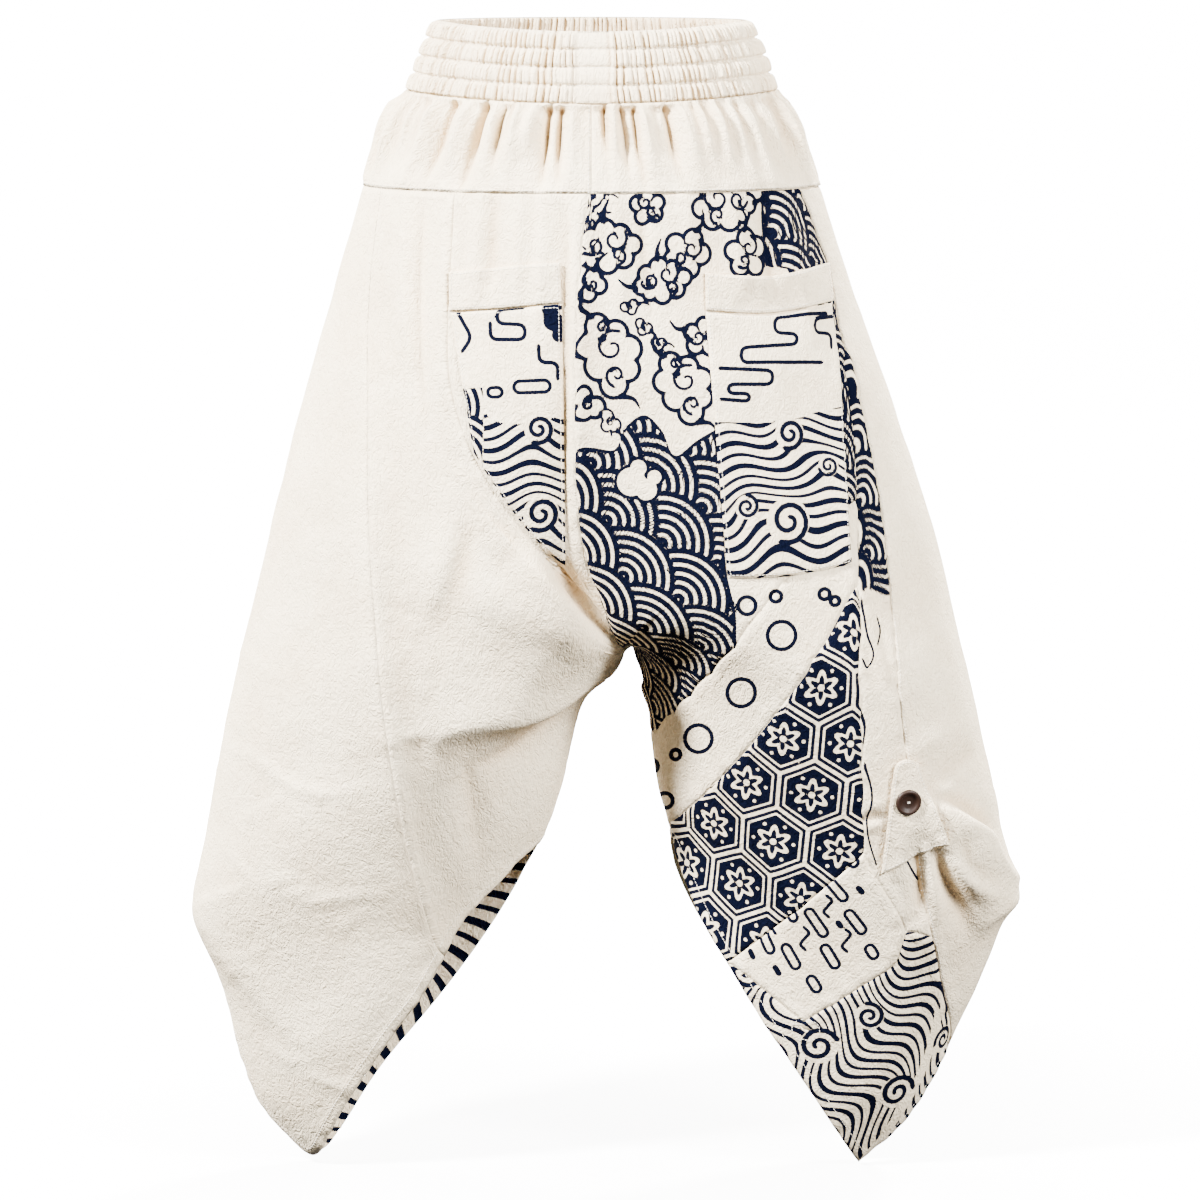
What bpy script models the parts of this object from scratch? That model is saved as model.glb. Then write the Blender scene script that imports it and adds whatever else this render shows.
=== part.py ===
"""Harem pants, filled out as when worn: every cut piece of cloth is a thin closed solid.

Metres, +Z up. The front faces -Y and the wearer's left side is +X. The origin is the centre
of the waistband ring at half its height. Tables give sizes in millimetres. A "drop" is a
distance below the origin. Names with "right" and "left" mean the wearer's right and left.
"""
import math

import bpy
import numpy as np
from mathutils import Matrix, Vector
from mathutils.bvhtree import BVHTree
from mathutils.kdtree import KDTree

MM = 0.001

# Driving dimensions
GAP = 0.3 * MM             # left open between two pieces at a seam
WALL = 1.6 * MM            # a panel with its turned seam allowances
PATCH_WALL = 2.0 * MM      # a pocket or tab: cloth and its hemmed edge
PATCH_LIFT = 0.5 * MM      # a pocket's inner face above the panel that it is sewn to
BAND_WALL = 3.0 * MM       # waistband: two layers of cloth round the elastic
BAND_TOP = -31 * MM        # drops of the waistband's two edges
BAND_LOW = 28 * MM
YOKE_LOW = 108 * MM        # drop of the seam between the yoke and the legs
CHANNELS = 4               # rows of elastic in the waistband
BAND_GATHERS = 96
YOKE_FOLDS = 40
FRONT_DIP = 7 * MM         # how much lower the waistband sits at the centre front
HEM_PARTING = 12 * MM      # between the front and back layer at the leg's lowest corner
CROWDING = 0.6             # how far the points of a row crowd towards an edge that rounds away
CROTCH_CROWDING = 1.35     # how far the centre seams' points crowd towards the crotch
LENS = 0.3                 # how much sharper a leg's two edges are at the hem than at the crotch
BUTTON_RADIUS = 11.2 * MM
BUTTON_THICK = 3.2 * MM

CREAM = (0.83, 0.79, 0.70)
PRINTED = (0.40, 0.41, 0.46)
NAVY_PRINTED = (0.16, 0.17, 0.24)
WOOD = (0.09, 0.045, 0.025)


def table(columns, rows):
    """A table of millimetres with named columns, as one array of metres for each name."""
    return dict(zip(columns.split(), np.array(rows, float).T * MM))


# Half width and half depth of the oval that the waistband and the yoke follow
WAIST = table("drop width depth", [
    (-31, 140, 100),
    (-16, 143, 101),
    (-1, 148, 104),
    (13, 152, 108),
    (28, 158, 112),
    (50, 171, 120),
    (76, 181, 126),
    (108, 195, 130),
])

# Yoke rows: how far the folds stand in and out, and how far the row lies inside the oval
YOKE_ROWS = table("drop fold inset", [
    (28, 1.4, 1.5),
    (41, 4.4, 1.0),
    (58, 3.8, 0.5),
    (82, 2.0, 0.2),
    (108, 0.0, 0.0),
])

# Hips: side edges, the centre seam's place and depth, and the half depth of each leg's oval
TRUNK = table("drop right left centre front back centre_front centre_back", [
    (108, -195, 195, 0, 130, 130, 130, 130),
    (156, -209, 209, -8, 136, 139, 136, 139),
    (219, -228, 230, -12, 142, 147, 142, 147),
    (283, -246, 253, -13, 145, 152, 143, 151),
    (343, -263, 272, -13, 145, 152, 139, 149),
    (398, -277, 291, -9, 144, 151, 131, 143),
    (456, -292, 307, 7, 140, 147, 116, 125),
    (480, -298, 314, 18, 137, 144, 97, 106),
    (494, -302, 318, 27, 136, 143, 66, 72),
    (502, -304, 320, 36, 135, 142, 0, 0),
])

# Legs below the crotch: a row runs from the inseam to the outer edge. Row 4 ends at the
# widest point, row 6 where the hem begins on the outer edge, row 8 at the lowest corner.
LEGS = {
    "right": table("inner inner_drop outer outer_drop front back", [
        (36, 502, -304, 502, 135, 142),
        (9, 524, -316, 552, 126, 132),
        (2, 549, -327, 609, 118, 124),
        (-8, 585, -339, 675, 108, 114),
        (-21, 623, -350, 734, 96, 102),
        (-31, 650, -326, 793, 83, 88),
        (-38, 664, -313, 842, 71, 76),
        (-41, 668, -291, 907, 60, 66),
        (-42, 670, -240, 960, 50, 56),
        (-9, 693, -207, 983, 44, 50),
    ]),
    "left": table("inner inner_drop outer outer_drop front back", [
        (36, 502, 320, 502, 135, 142),
        (41, 519, 332, 548, 126, 132),
        (44, 543, 342, 593, 118, 124),
        (48, 575, 355, 649, 108, 114),
        (51, 608, 366, 710, 96, 102),
        (57, 640, 346, 778, 83, 88),
        (62, 653, 315, 848, 71, 76),
        (64, 659, 283, 912, 60, 66),
        (65, 662, 233, 960, 50, 56),
        (30, 682, 198, 980, 44, 50),
    ]),
}
WIDEST_ROW, HEM_START_ROW, CORNER_ROW = 4, 6, 8

# Seams and hems as seen from the front: (x, drop)
SEAMS = {
    "right_side": [(-178, 108), (-188, 201), (-187, 282), (-187, 364), (-180, 463),
                   (-168, 574), (-154, 657), (-138, 720), (-127, 765)],
    "right_inset": [(-116, 108), (-120, 197), (-120, 278), (-101, 328), (-76, 365),
                    (-47, 402), (-22, 426), (2, 447)],
    "right_hem_upper": [(-42, 670), (-62, 686), (-84, 711), (-107, 730), (-127, 765)],
    "right_hem_lower": [(-127, 765), (-150, 810), (-176, 840), (-196, 875), (-215, 902), (-240, 960)],
    "right_hem_back": [(-42, 670), (-70, 729), (-109, 791), (-139, 831), (-167, 864),
                       (-194, 895), (-218, 937), (-240, 960)],
    "left_hem_upper": [(65, 662), (71, 682), (82, 711), (97, 744), (116, 774)],
    "left_hem_lower": [(116, 774), (145, 822), (164, 850), (183, 879), (216, 932), (233, 960)],
    "left_hem_back": [(65, 662), (68, 690), (80, 724), (98, 760), (124, 800), (158, 850),
                      (188, 896), (233, 960)],
    "left_join": [(178, 108), (203, 171), (214, 239)],
    "left_strip_a": [(214, 239), (222, 325), (223, 360)],
    "left_strip_b": [(223, 360), (223, 427)],
    "left_strip_c": [(223, 427), (227, 568), (229, 672)],
    "left_strip_d": [(229, 672), (270, 737)],
    "left_side": [(214, 239), (226, 302), (239, 352), (250, 446), (258, 534), (276, 667),
                  (280, 708), (289, 745)],
    "left_side_low": [(289, 745), (302, 798), (315, 848)],
    "bubble_top": [(48, 582), (119, 485), (163, 425), (223, 360)],
    "bubble_low": [(65, 662), (98, 622), (129, 583), (164, 531), (192, 492), (223, 427)],
    "mist_top": [(116, 774), (177, 720), (229, 672)],
    "mist_left": [(116, 774), (183, 825)],
    "mist_low": [(183, 825), (257, 772)],
    "mist_right": [(257, 772), (270, 737)],
    "strip_end": [(270, 737), (289, 745)],
}

# Large soft folds: (height, half width, path of (x, drop)); a valley has a height below zero
FOLDS = {
    "front": [
        (7, 16, [(-17, 112), (-17, 260), (-16, 400)]),
        (5, 22, [(-190, 150), (-198, 300), (-188, 460), (-160, 610)]),
        (-5, 20, [(-122, 335), (-134, 400), (-146, 480)]),
        (6, 20, [(-125, 425), (-60, 455), (0, 492)]),
        (12, 22, [(20, 512), (-20, 522), (-70, 540), (-135, 585)]),
        (-10, 22, [(-5, 552), (-45, 575), (-95, 625)]),
        (4, 30, [(-180, 590), (-240, 640), (-300, 700)]),
        (5, 26, [(-140, 750), (-190, 800), (-255, 870)]),
        (4, 30, [(150, 420), (158, 520), (160, 640)]),
        (4, 24, [(118, 700), (160, 790), (205, 890)]),
        (5, 16, [(236, 250), (275, 350), (297, 430), (309, 515)]),
        (-4, 16, [(248, 300), (275, 420), (285, 520)]),
        (15, 27, [(312, 625), (328, 665), (338, 700)]),
        (-7, 14, [(300, 702), (322, 722), (345, 742)]),
    ],
    "back": [
        (6, 24, [(-25, 395), (-90, 425), (-165, 470)]),
        (6, 24, [(60, 400), (120, 430), (190, 475)]),
        (10, 24, [(10, 515), (-50, 545), (-130, 600)]),
        (9, 24, [(62, 520), (120, 560), (190, 615)]),
        (-7, 24, [(0, 560), (-60, 600), (-110, 650)]),
        (-6, 24, [(75, 560), (130, 605), (190, 680)]),
        (5, 26, [(-150, 150), (-160, 260), (-150, 370)]),
        (5, 26, [(150, 150), (162, 260), (155, 370)]),
    ],
}

# Pockets and tab: corners as seen from the front, (x, drop), top edge and bottom edge
PATCHES = {
    "right_pocket_band": ([(-117, 174), (-70, 168), (-26, 164)],
                          [(-117, 206), (-70, 202), (-25, 197)], 3, 9),
    "right_pocket_body": ([(-117, 207), (-70, 203), (-25, 198)],
                          [(-98, 322), (-73, 361), (-45, 397), (-21, 421)], 9, 9),
    "left_pocket_band": ([(93, 174), (145, 179), (199, 171)],
                         [(94, 205), (148, 209), (202, 203)], 3, 9),
    "left_pocket_body": ([(94, 206), (148, 210), (202, 204)],
                         [(113, 427), (165, 426), (216, 419)], 10, 9),
    "left_tab": ([(254, 590), (264, 585), (274, 590)],
                 [(245, 687), (272, 674), (302, 661)], 6, 4),
}
BUTTON_PLACE = (267 * MM, -623 * MM)


# ---------------------------------------------------------------- curves and sections

def curve(xs, ys, x):
    """Smooth curve through (xs, ys) that never swings past its points, read at x."""
    width = np.diff(xs)
    rise = np.diff(ys) / width
    slope = np.zeros(len(xs))
    slope[0], slope[-1] = rise[0], rise[-1]
    for i in range(1, len(rise)):
        if rise[i - 1] * rise[i] > 0:
            a = 2 * width[i] + width[i - 1]
            b = width[i] + 2 * width[i - 1]
            slope[i] = (a + b) / (a / rise[i - 1] + b / rise[i])
    i = np.clip(np.searchsorted(xs, x) - 1, 0, len(width) - 1)
    t = (x - xs[i]) / width[i]
    bend = width[i] * t * (1 - t) * (slope[i] * (1 - t) - slope[i + 1] * t)
    return ys[i] + (ys[i + 1] - ys[i]) * t * t * (3 - 2 * t) + bend


def fine_rows(legs, steps=20):
    """The leg table read at many rows, so that a point's row is found quickly."""
    rows = np.arange(len(legs["front"]), dtype=float)
    fine = np.linspace(0, rows[-1], int(rows[-1]) * steps + 1)
    read = {name: curve(rows, values, fine) for name, values in legs.items()}
    read["row"] = fine
    return read


FINE_LEGS = {side: fine_rows(legs) for side, legs in LEGS.items()}


def leg_row(side, x, z):
    """Row of the leg on which the point (x, z) lies, as a number between 0 and 9."""
    leg = FINE_LEGS[side]
    turn = 1 if side == "left" else -1
    across = (leg["outer"] - leg["inner"]) * (z + leg["inner_drop"])
    down = (leg["outer_drop"] - leg["inner_drop"]) * (x - leg["inner"])
    passed = turn * (across + down)
    k = int(np.argmax(passed >= 0)) if passed.max() >= 0 else len(passed) - 1
    if k == 0:
        return 0.0
    t = np.clip(passed[k - 1] / (passed[k - 1] - passed[k]), 0, 1)
    return leg["row"][k - 1] + t * (leg["row"][k] - leg["row"][k - 1])


def parting(row):
    """Gap between the front and back layer on the outer edge, past the row where the hem begins."""
    past = max(0.0, row - HEM_START_ROW) / (CORNER_ROW - HEM_START_ROW)
    return HEM_PARTING * math.sqrt(past)


def bulge(side, face, x, z):
    """Distance of the cloth from the middle plane, and how far in from its two edges (0 to 1)."""
    if -z <= TRUNK["drop"][-1]:
        row = {name: curve(TRUNK["drop"], values, -z) for name, values in TRUNK.items()}
        half = row[face]
        cut = math.sqrt(max(0.0, 1 - (row["centre_" + face] / half) ** 2))
        outer = row[side]
        inner = outer + (row["centre"] - outer) * 2 / (1 + cut)
        s = (2 * x - outer - inner) / (inner - outer)
        round_part = math.sqrt(max(0.0, 1 - s * s))
        return half * round_part, round_part
    number = leg_row(side, x, z)
    leg = FINE_LEGS[side]
    row = {name: np.interp(number, leg["row"], values) for name, values in leg.items()}
    across = np.array([row["outer"] - row["inner"], row["inner_drop"] - row["outer_drop"]])
    offset = np.array([x - row["inner"], z + row["inner_drop"]])
    t = float(np.clip(offset @ across / (across @ across), 0, 1))
    round_part = math.sqrt(max(0.0, 1 - (1 - 2 * t) ** 2))
    lens = 1 + LENS * number / CORNER_ROW
    return row[face] * round_part ** lens + parting(number) * t / 2, round_part


def smooth(points, steps=12):
    """Dense smooth line through the given points."""
    p = np.array(points, float)
    if len(p) == 2:
        return p[0] + np.linspace(0, 1, steps * 2)[:, None] * (p[1] - p[0])
    along = np.concatenate([[0], np.cumsum(np.linalg.norm(np.diff(p, axis=0), axis=1))])
    places = np.concatenate([np.linspace(a, b, steps, endpoint=False)
                             for a, b in zip(along[:-1], along[1:])] + [[along[-1]]])
    tangent = np.gradient(p, along, axis=0)
    line = []
    for place in places:
        i = min(int(np.searchsorted(along, place, side="right")) - 1, len(p) - 2)
        span = along[i + 1] - along[i]
        t = (place - along[i]) / span
        line.append(p[i] * (1 + 2 * t) * (1 - t) ** 2 + p[i + 1] * t * t * (3 - 2 * t)
                    + span * t * (1 - t) * (tangent[i] * (1 - t) - tangent[i + 1] * t))
    return np.array(line)


FOLD_LINES = {face: [(height * MM, width * MM, smooth(path) * (MM, -MM)) for height, width, path in folds]
              for face, folds in FOLDS.items()}


def fold_height(face, x, z):
    """Sum of the large folds at (x, z): each is a soft ridge that fades towards its ends."""
    total = 0.0
    for height, width, line in FOLD_LINES[face]:
        away = np.hypot(line[:, 0] - x, line[:, 1] - z)
        k = int(away.argmin())
        fade = math.sin(math.pi * (0.08 + 0.84 * k / (len(line) - 1))) ** 0.7
        total += height * fade * math.exp(-(away[k] / width) ** 2)
    return total


def lift(side, face, x, z):
    """The point of the leg's front or back layer that is seen at (x, z)."""
    depth, round_part = bulge(side, face, x, z)
    depth += fold_height(face, x, z) * min(1.0, 1.6 * round_part ** 2)
    return np.array([x, -depth if face == "front" else depth, z])


# ---------------------------------------------------------------- seam lines

def resample(line, fractions):
    along = np.concatenate([[0], np.cumsum(np.linalg.norm(np.diff(line, axis=0), axis=1))])
    return np.array([[np.interp(f * along[-1], along, line[:, i]) for i in range(3)] for f in fractions])


def even(count):
    return np.linspace(0, 1, count + 1)


def rounded(count, angle):
    """Fractions that crowd towards 0, where the cloth rounds away, for an arc of that angle."""
    turn = np.linspace(0, math.radians(angle), count + 1)
    arc = (1 - np.cos(turn)) / (1 - math.cos(turn[-1]))
    return CROWDING * arc + (1 - CROWDING) * even(count)


def seam(side, face, name, fractions, start=None, end=None):
    """Points along a seam on the cloth. Its ends can be points that another seam already has."""
    dense = smooth(SEAMS[name]) * (MM, -MM)
    line = np.array([lift(side, face, x, z) for x, z in dense])
    if start is not None:
        line[0] = start
    if end is not None:
        line[-1] = end
    points = resample(line, fractions)
    for i in range(1, len(points) - 1):
        points[i] = lift(side, face, points[i, 0], points[i, 2])
    return points


def centre_seam(face, count):
    """From the yoke down to the crotch, in the middle of the front or the back."""
    first, last = TRUNK["drop"][0], TRUNK["drop"][-1]
    drops = first + (last - first) * np.sin(np.linspace(0, math.pi / 2, 160))
    xs = [curve(TRUNK["drop"], TRUNK["centre"], drop) for drop in drops]
    line = np.array([lift("left", face, x, -drop) for x, drop in zip(xs, drops)])
    points = resample(line, 1 - even(count)[::-1] ** CROTCH_CROWDING)
    points[-1, 1] = 0
    return points


def edge(side, rail, first, last, count, face=None):
    """Points on a leg's inner or outer edge between two rows; above row 0 lie the hips."""
    rows = np.linspace(first, last, 80)
    line = []
    for row in rows:
        if row < 0:
            drop = TRUNK["drop"][-1] + row * (TRUNK["drop"][-1] - TRUNK["drop"][0])
            line.append((curve(TRUNK["drop"], TRUNK[side], drop), 0, -drop))
            continue
        legs = LEGS[side]
        numbers = np.arange(len(legs["front"]), dtype=float)
        y = {"front": -0.5, "back": 0.5}.get(face, 0) * parting(row)
        line.append((curve(numbers, legs[rail], row), y, -curve(numbers, legs[rail + "_drop"], row)))
    return resample(np.array(line), even(count))


# ---------------------------------------------------------------- sheets of cloth

def patch(side, face, first, second, top, bottom, across):
    """Grid of cloth points between two seams, its rows running from first to second."""
    count_down, count_across = len(first) - 1, len(across) - 1
    if top is None:
        top = np.array([first[0] + (second[0] - first[0]) * u for u in across])
    if bottom is None:
        bottom = np.array([first[-1] + (second[-1] - first[-1]) * u for u in across])
    grid = np.zeros((count_down + 1, count_across + 1, 3))
    for j in range(count_down + 1):
        w = j / count_down
        for k, u in enumerate(across):
            corner = ((1 - u) * ((1 - w) * top[0] + w * bottom[0])
                      + u * ((1 - w) * top[-1] + w * bottom[-1]))
            grid[j, k] = (1 - u) * first[j] + u * second[j] + (1 - w) * top[k] + w * bottom[k] - corner
            if 0 < j < count_down and 0 < k < count_across:
                grid[j, k] = lift(side, face, grid[j, k, 0], grid[j, k, 2])
    grid[:, 0], grid[:, -1] = first, second
    grid[0], grid[-1] = top, bottom
    return grid


def weld(grids):
    """One sheet (points, triangles) from grids that share points along their edges."""
    raw = np.concatenate([grid.reshape(-1, 3) for grid in grids])
    tree = KDTree(len(raw))
    for i, point in enumerate(raw):
        tree.insert(point, i)
    tree.balance()
    name, points, keep = {}, [], []
    for i, point in enumerate(raw):
        same = min(index for _, index, _ in tree.find_range(point, 0.02 * MM))
        if same not in name:
            name[same] = len(points)
            points.append(raw[same])
        keep.append(name[same])
    triangles, base = [], 0
    for grid in grids:
        rows, columns = grid.shape[:2]
        for j in range(rows - 1):
            for k in range(columns - 1):
                a, b = base + j * columns + k, base + (j + 1) * columns + k
                corners = [keep[a], keep[b], keep[b + 1], keep[a + 1]]
                for trio in (corners[:3], [corners[0], corners[2], corners[3]]):
                    if len(set(trio)) == 3:
                        triangles.append(tuple(trio))
        base += rows * columns
    return np.array(points), triangles


def face_normals(points, triangles):
    a, b, c = (points[[t[i] for t in triangles]] for i in range(3))
    return np.cross(b - a, c - a)


def shared_normals(sheets, level_drops):
    """Normals at every sheet's points, the same for all sheets that meet at a point.

    At the level seams they are kept horizontal, so that both rims there lie flat.
    """
    everything = np.concatenate([points for points, _ in sheets.values()])
    tree = KDTree(len(everything))
    for i, point in enumerate(everything):
        tree.insert(point, i)
    tree.balance()
    total = np.zeros_like(everything)
    base = 0
    for points, triangles in sheets.values():
        for trio, normal in zip(triangles, face_normals(points, triangles)):
            for index in trio:
                total[base + index] += normal
        base += len(points)
    merged = np.zeros_like(total)
    for i, point in enumerate(everything):
        near = [index for _, index, _ in tree.find_range(point, 0.02 * MM)]
        merged[i] = total[near].sum(axis=0)
        if any(abs(point[2] + drop) < 0.05 * MM for drop in level_drops):
            merged[i, 2] = 0
    merged /= np.linalg.norm(merged, axis=1)[:, None]
    result, base = {}, 0
    for sheet_name, (points, _) in sheets.items():
        result[sheet_name] = merged[base:base + len(points)]
        base += len(points)
    return result


def rim_edges(triangles):
    """Directed edges that only one triangle has."""
    seen = {}
    for trio in triangles:
        for i in range(3):
            seen[(trio[i], trio[(i + 1) % 3])] = True
    return [pair for pair in seen if (pair[1], pair[0]) not in seen]


def seam_allowance(points, triangles, normals, gap):
    """Moves the rim points in by half the gap, square to the rim and within the cloth."""
    inward = {}
    for a, b in rim_edges(triangles):
        run = points[b] - points[a]
        side = np.cross((normals[a] + normals[b]) / 2, run)
        side /= np.linalg.norm(side)
        inward.setdefault(a, []).append(side)
        inward.setdefault(b, []).append(side)
    moved = points.copy()
    for index, sides in inward.items():
        both = np.sum(sides, axis=0)
        reach = max(0.35, float(both @ both) / 2)
        moved[index] += both / reach * gap / 2
    return moved


def add_object(name, points, faces, colour, roughness=0.9):
    mesh = bpy.data.meshes.new(name)
    mesh.from_pydata([tuple(point) for point in points], [], faces)
    mesh.validate()
    mesh.shade_smooth()
    mesh.set_sharp_from_angle(angle=math.radians(50))
    piece = bpy.data.objects.new(name, mesh)
    paint(piece, name, colour, roughness)
    bpy.data.collections["harem_pants"].objects.link(piece)
    return piece


def paint(piece, name, colour, roughness):
    material = bpy.data.materials.new(name + "_material")
    material.use_nodes = True
    shader = material.node_tree.nodes["Principled BSDF"]
    shader.inputs["Base Color"].default_value = (*colour, 1)
    shader.inputs["Roughness"].default_value = roughness
    shader.inputs["Metallic"].default_value = 0.0
    piece.data.materials.append(material)


def cloth_solid(name, points, triangles, normals, colour, wall=WALL, gap=GAP):
    """Closed wall: the sheet is its outer face, and its inner face lies one wall further in."""
    outer = seam_allowance(points, triangles, normals, gap)
    inner = outer - normals * wall
    count = len(points)
    faces = list(triangles)
    faces += [(c + count, b + count, a + count) for a, b, c in triangles]
    for a, b in rim_edges(triangles):
        # Two pieces that share a seam split each stretch of their rims along the same diagonal
        if tuple(np.round(points[a][::-1], 5)) < tuple(np.round(points[b][::-1], 5)):
            faces += [(b, a, a + count), (b, a + count, b + count)]
        else:
            faces += [(b, a, b + count), (a, a + count, b + count)]
    return add_object(name, np.concatenate([outer, inner]), faces, colour)


# ---------------------------------------------------------------- waistband and yoke

def oval(drop, angle, outward=0.0):
    """Point of the waist at this drop; angle 0 is the centre front, 90 degrees the left side."""
    width = curve(WAIST["drop"], WAIST["width"], drop)
    depth = curve(WAIST["drop"], WAIST["depth"], drop)
    x, y = width * math.sin(angle), -depth * math.cos(angle)
    away = np.array([x / width ** 2, y / depth ** 2])
    away /= np.linalg.norm(away)
    fade = min(1.0, max(0.0, (YOKE_LOW - drop) / (YOKE_LOW - BAND_LOW)))
    sag = FRONT_DIP * max(0.0, math.cos(angle)) ** 2 * fade
    return np.array([x + away[0] * outward, y + away[1] * outward, -drop - sag])


def flat_front(angle):
    """0 on the ungathered bit at the centre front, 1 everywhere else."""
    return min(1.0, max(0.0, (abs(math.degrees(angle)) - 4.5) / 2.5))


def waistband():
    """Four gathered channels of elastic outside, plain inside."""
    columns = 2 * BAND_GATHERS
    angles = [-math.pi + 2 * math.pi * k / columns for k in range(columns)]
    rows = 2 * CHANNELS + 1
    grid = []
    for j in range(rows):
        drop = BAND_TOP + (BAND_LOW - BAND_TOP - GAP / 2) * j / (rows - 1)
        in_channel = j % 2
        swell = 2.0 * MM if in_channel else 0.3 * MM
        ruffle = 1.3 * MM if in_channel else 0.45 * MM
        for k, angle in enumerate(angles):
            uneven = 0.75 + 0.25 * math.sin(2.3 * k + 1.7 * j)
            side = 1 if k % 2 else -1
            grid.append(oval(drop, angle, swell + side * ruffle * uneven * flat_front(angle)))
    outer_count = len(grid)
    for drop in (BAND_TOP, BAND_LOW - GAP / 2):
        grid += [oval(drop, angle, -BAND_WALL) for angle in angles]
    faces = []

    def strip(upper, lower):
        for k in range(columns):
            n = (k + 1) % columns
            faces.append((upper + k, lower + k, lower + n))
            faces.append((upper + k, lower + n, upper + n))

    for j in range(rows - 1):
        strip(j * columns, (j + 1) * columns)
    inner_top, inner_low = outer_count, outer_count + columns
    strip(outer_count - columns, inner_low)
    strip(inner_low, inner_top)
    strip(inner_top, 0)
    add_object("waistband", grid, faces, CREAM)


def yoke_grid(first, last):
    """Gathered cloth under the waistband, between two angles in degrees."""
    per_fold = 4
    columns = round(YOKE_FOLDS * per_fold * (last - first) / 360)
    grid = np.zeros((len(YOKE_ROWS["drop"]), columns + 1, 3))
    for k in range(columns + 1):
        degrees = first + (last - first) * k / columns
        angle = math.radians(degrees)
        phase = math.radians(degrees * YOKE_FOLDS)
        fold = math.floor(degrees % 360 * YOKE_FOLDS / 360 + 0.5) % YOKE_FOLDS
        uneven = 0.7 + 0.3 * math.sin(2.1 * fold)
        for j, drop in enumerate(YOKE_ROWS["drop"]):
            wave = YOKE_ROWS["fold"][j] * math.cos(phase) * uneven * (0.3 + 0.7 * flat_front(angle))
            grid[j, k] = oval(drop, angle, wave - YOKE_ROWS["inset"][j])
    return grid


# ---------------------------------------------------------------- legs

def right_half(centre_front, centre_back, sheets):
    crotch = centre_front[-1]
    inset = seam("right", "front", "right_inset", even(8), end=centre_front[8])
    inseam = edge("right", "inner", 0, CORNER_ROW, 6)
    inseam[0] = crotch
    side_hip = edge("right", "outer", -1, WIDEST_ROW, 19)
    side_low = edge("right", "outer", WIDEST_ROW, HEM_START_ROW, 4)
    side = np.concatenate([side_hip, side_low[1:]])
    hem_side = {face: edge("right", "outer", HEM_START_ROW, CORNER_ROW, 5, face) for face in FOLDS}
    hem_upper = seam("right", "front", "right_hem_upper", even(4), start=inseam[-1])
    hem_lower = seam("right", "front", "right_hem_lower", even(6),
                     start=hem_upper[-1], end=hem_side["front"][-1])
    hem_back = seam("right", "back", "right_hem_back", even(10),
                    start=inseam[-1], end=hem_side["back"][-1])
    side_seam = seam("right", "front", "right_side", even(22), end=hem_upper[-1])

    top = [lift("right", "front", x, -YOKE_LOW) for x in np.linspace(inset[0, 0], 0, 7)]
    top[0], top[-1] = inset[0], centre_front[0]
    sheets["right_front_inset"] = weld([patch(
        "right", "front", inset, centre_front[:9], np.array(top), None, even(6))])

    inner = np.concatenate([inset, centre_front[9:], inseam[1:], hem_upper[1:]])
    across = 1 - rounded(9, 105)[::-1]
    sheets["right_leg_front"] = weld([patch(
        "right", "front", side_seam, inner, level_top("right", "front", side_seam[0], inset[0], across),
        None, across)])

    outer_edge = np.concatenate([side, hem_side["front"][1:]])
    front_seam = np.concatenate([side_seam, hem_lower[1:]])
    across = rounded(7, 82)
    front = patch("right", "front", outer_edge, front_seam,
                  level_top("right", "front", side[0], side_seam[0], across), None, across)
    back_seam = back_side_seam("right", side)
    behind = patch("right", "back", back_seam, side,
                   level_top("right", "back", back_seam[0], side[0], even(2)), None, even(2))
    sheets["right_side_panel"] = weld([front, behind])

    inner = np.concatenate([centre_back, inseam[1:], hem_back[1:]])
    outer = np.concatenate([back_seam, hem_side["back"][1:]])
    across = rounded(10, 150)
    sheets["right_leg_back"] = weld([patch(
        "right", "back", inner, outer,
        level_top("right", "back", centre_back[0], back_seam[0], across), None, across)])


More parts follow.
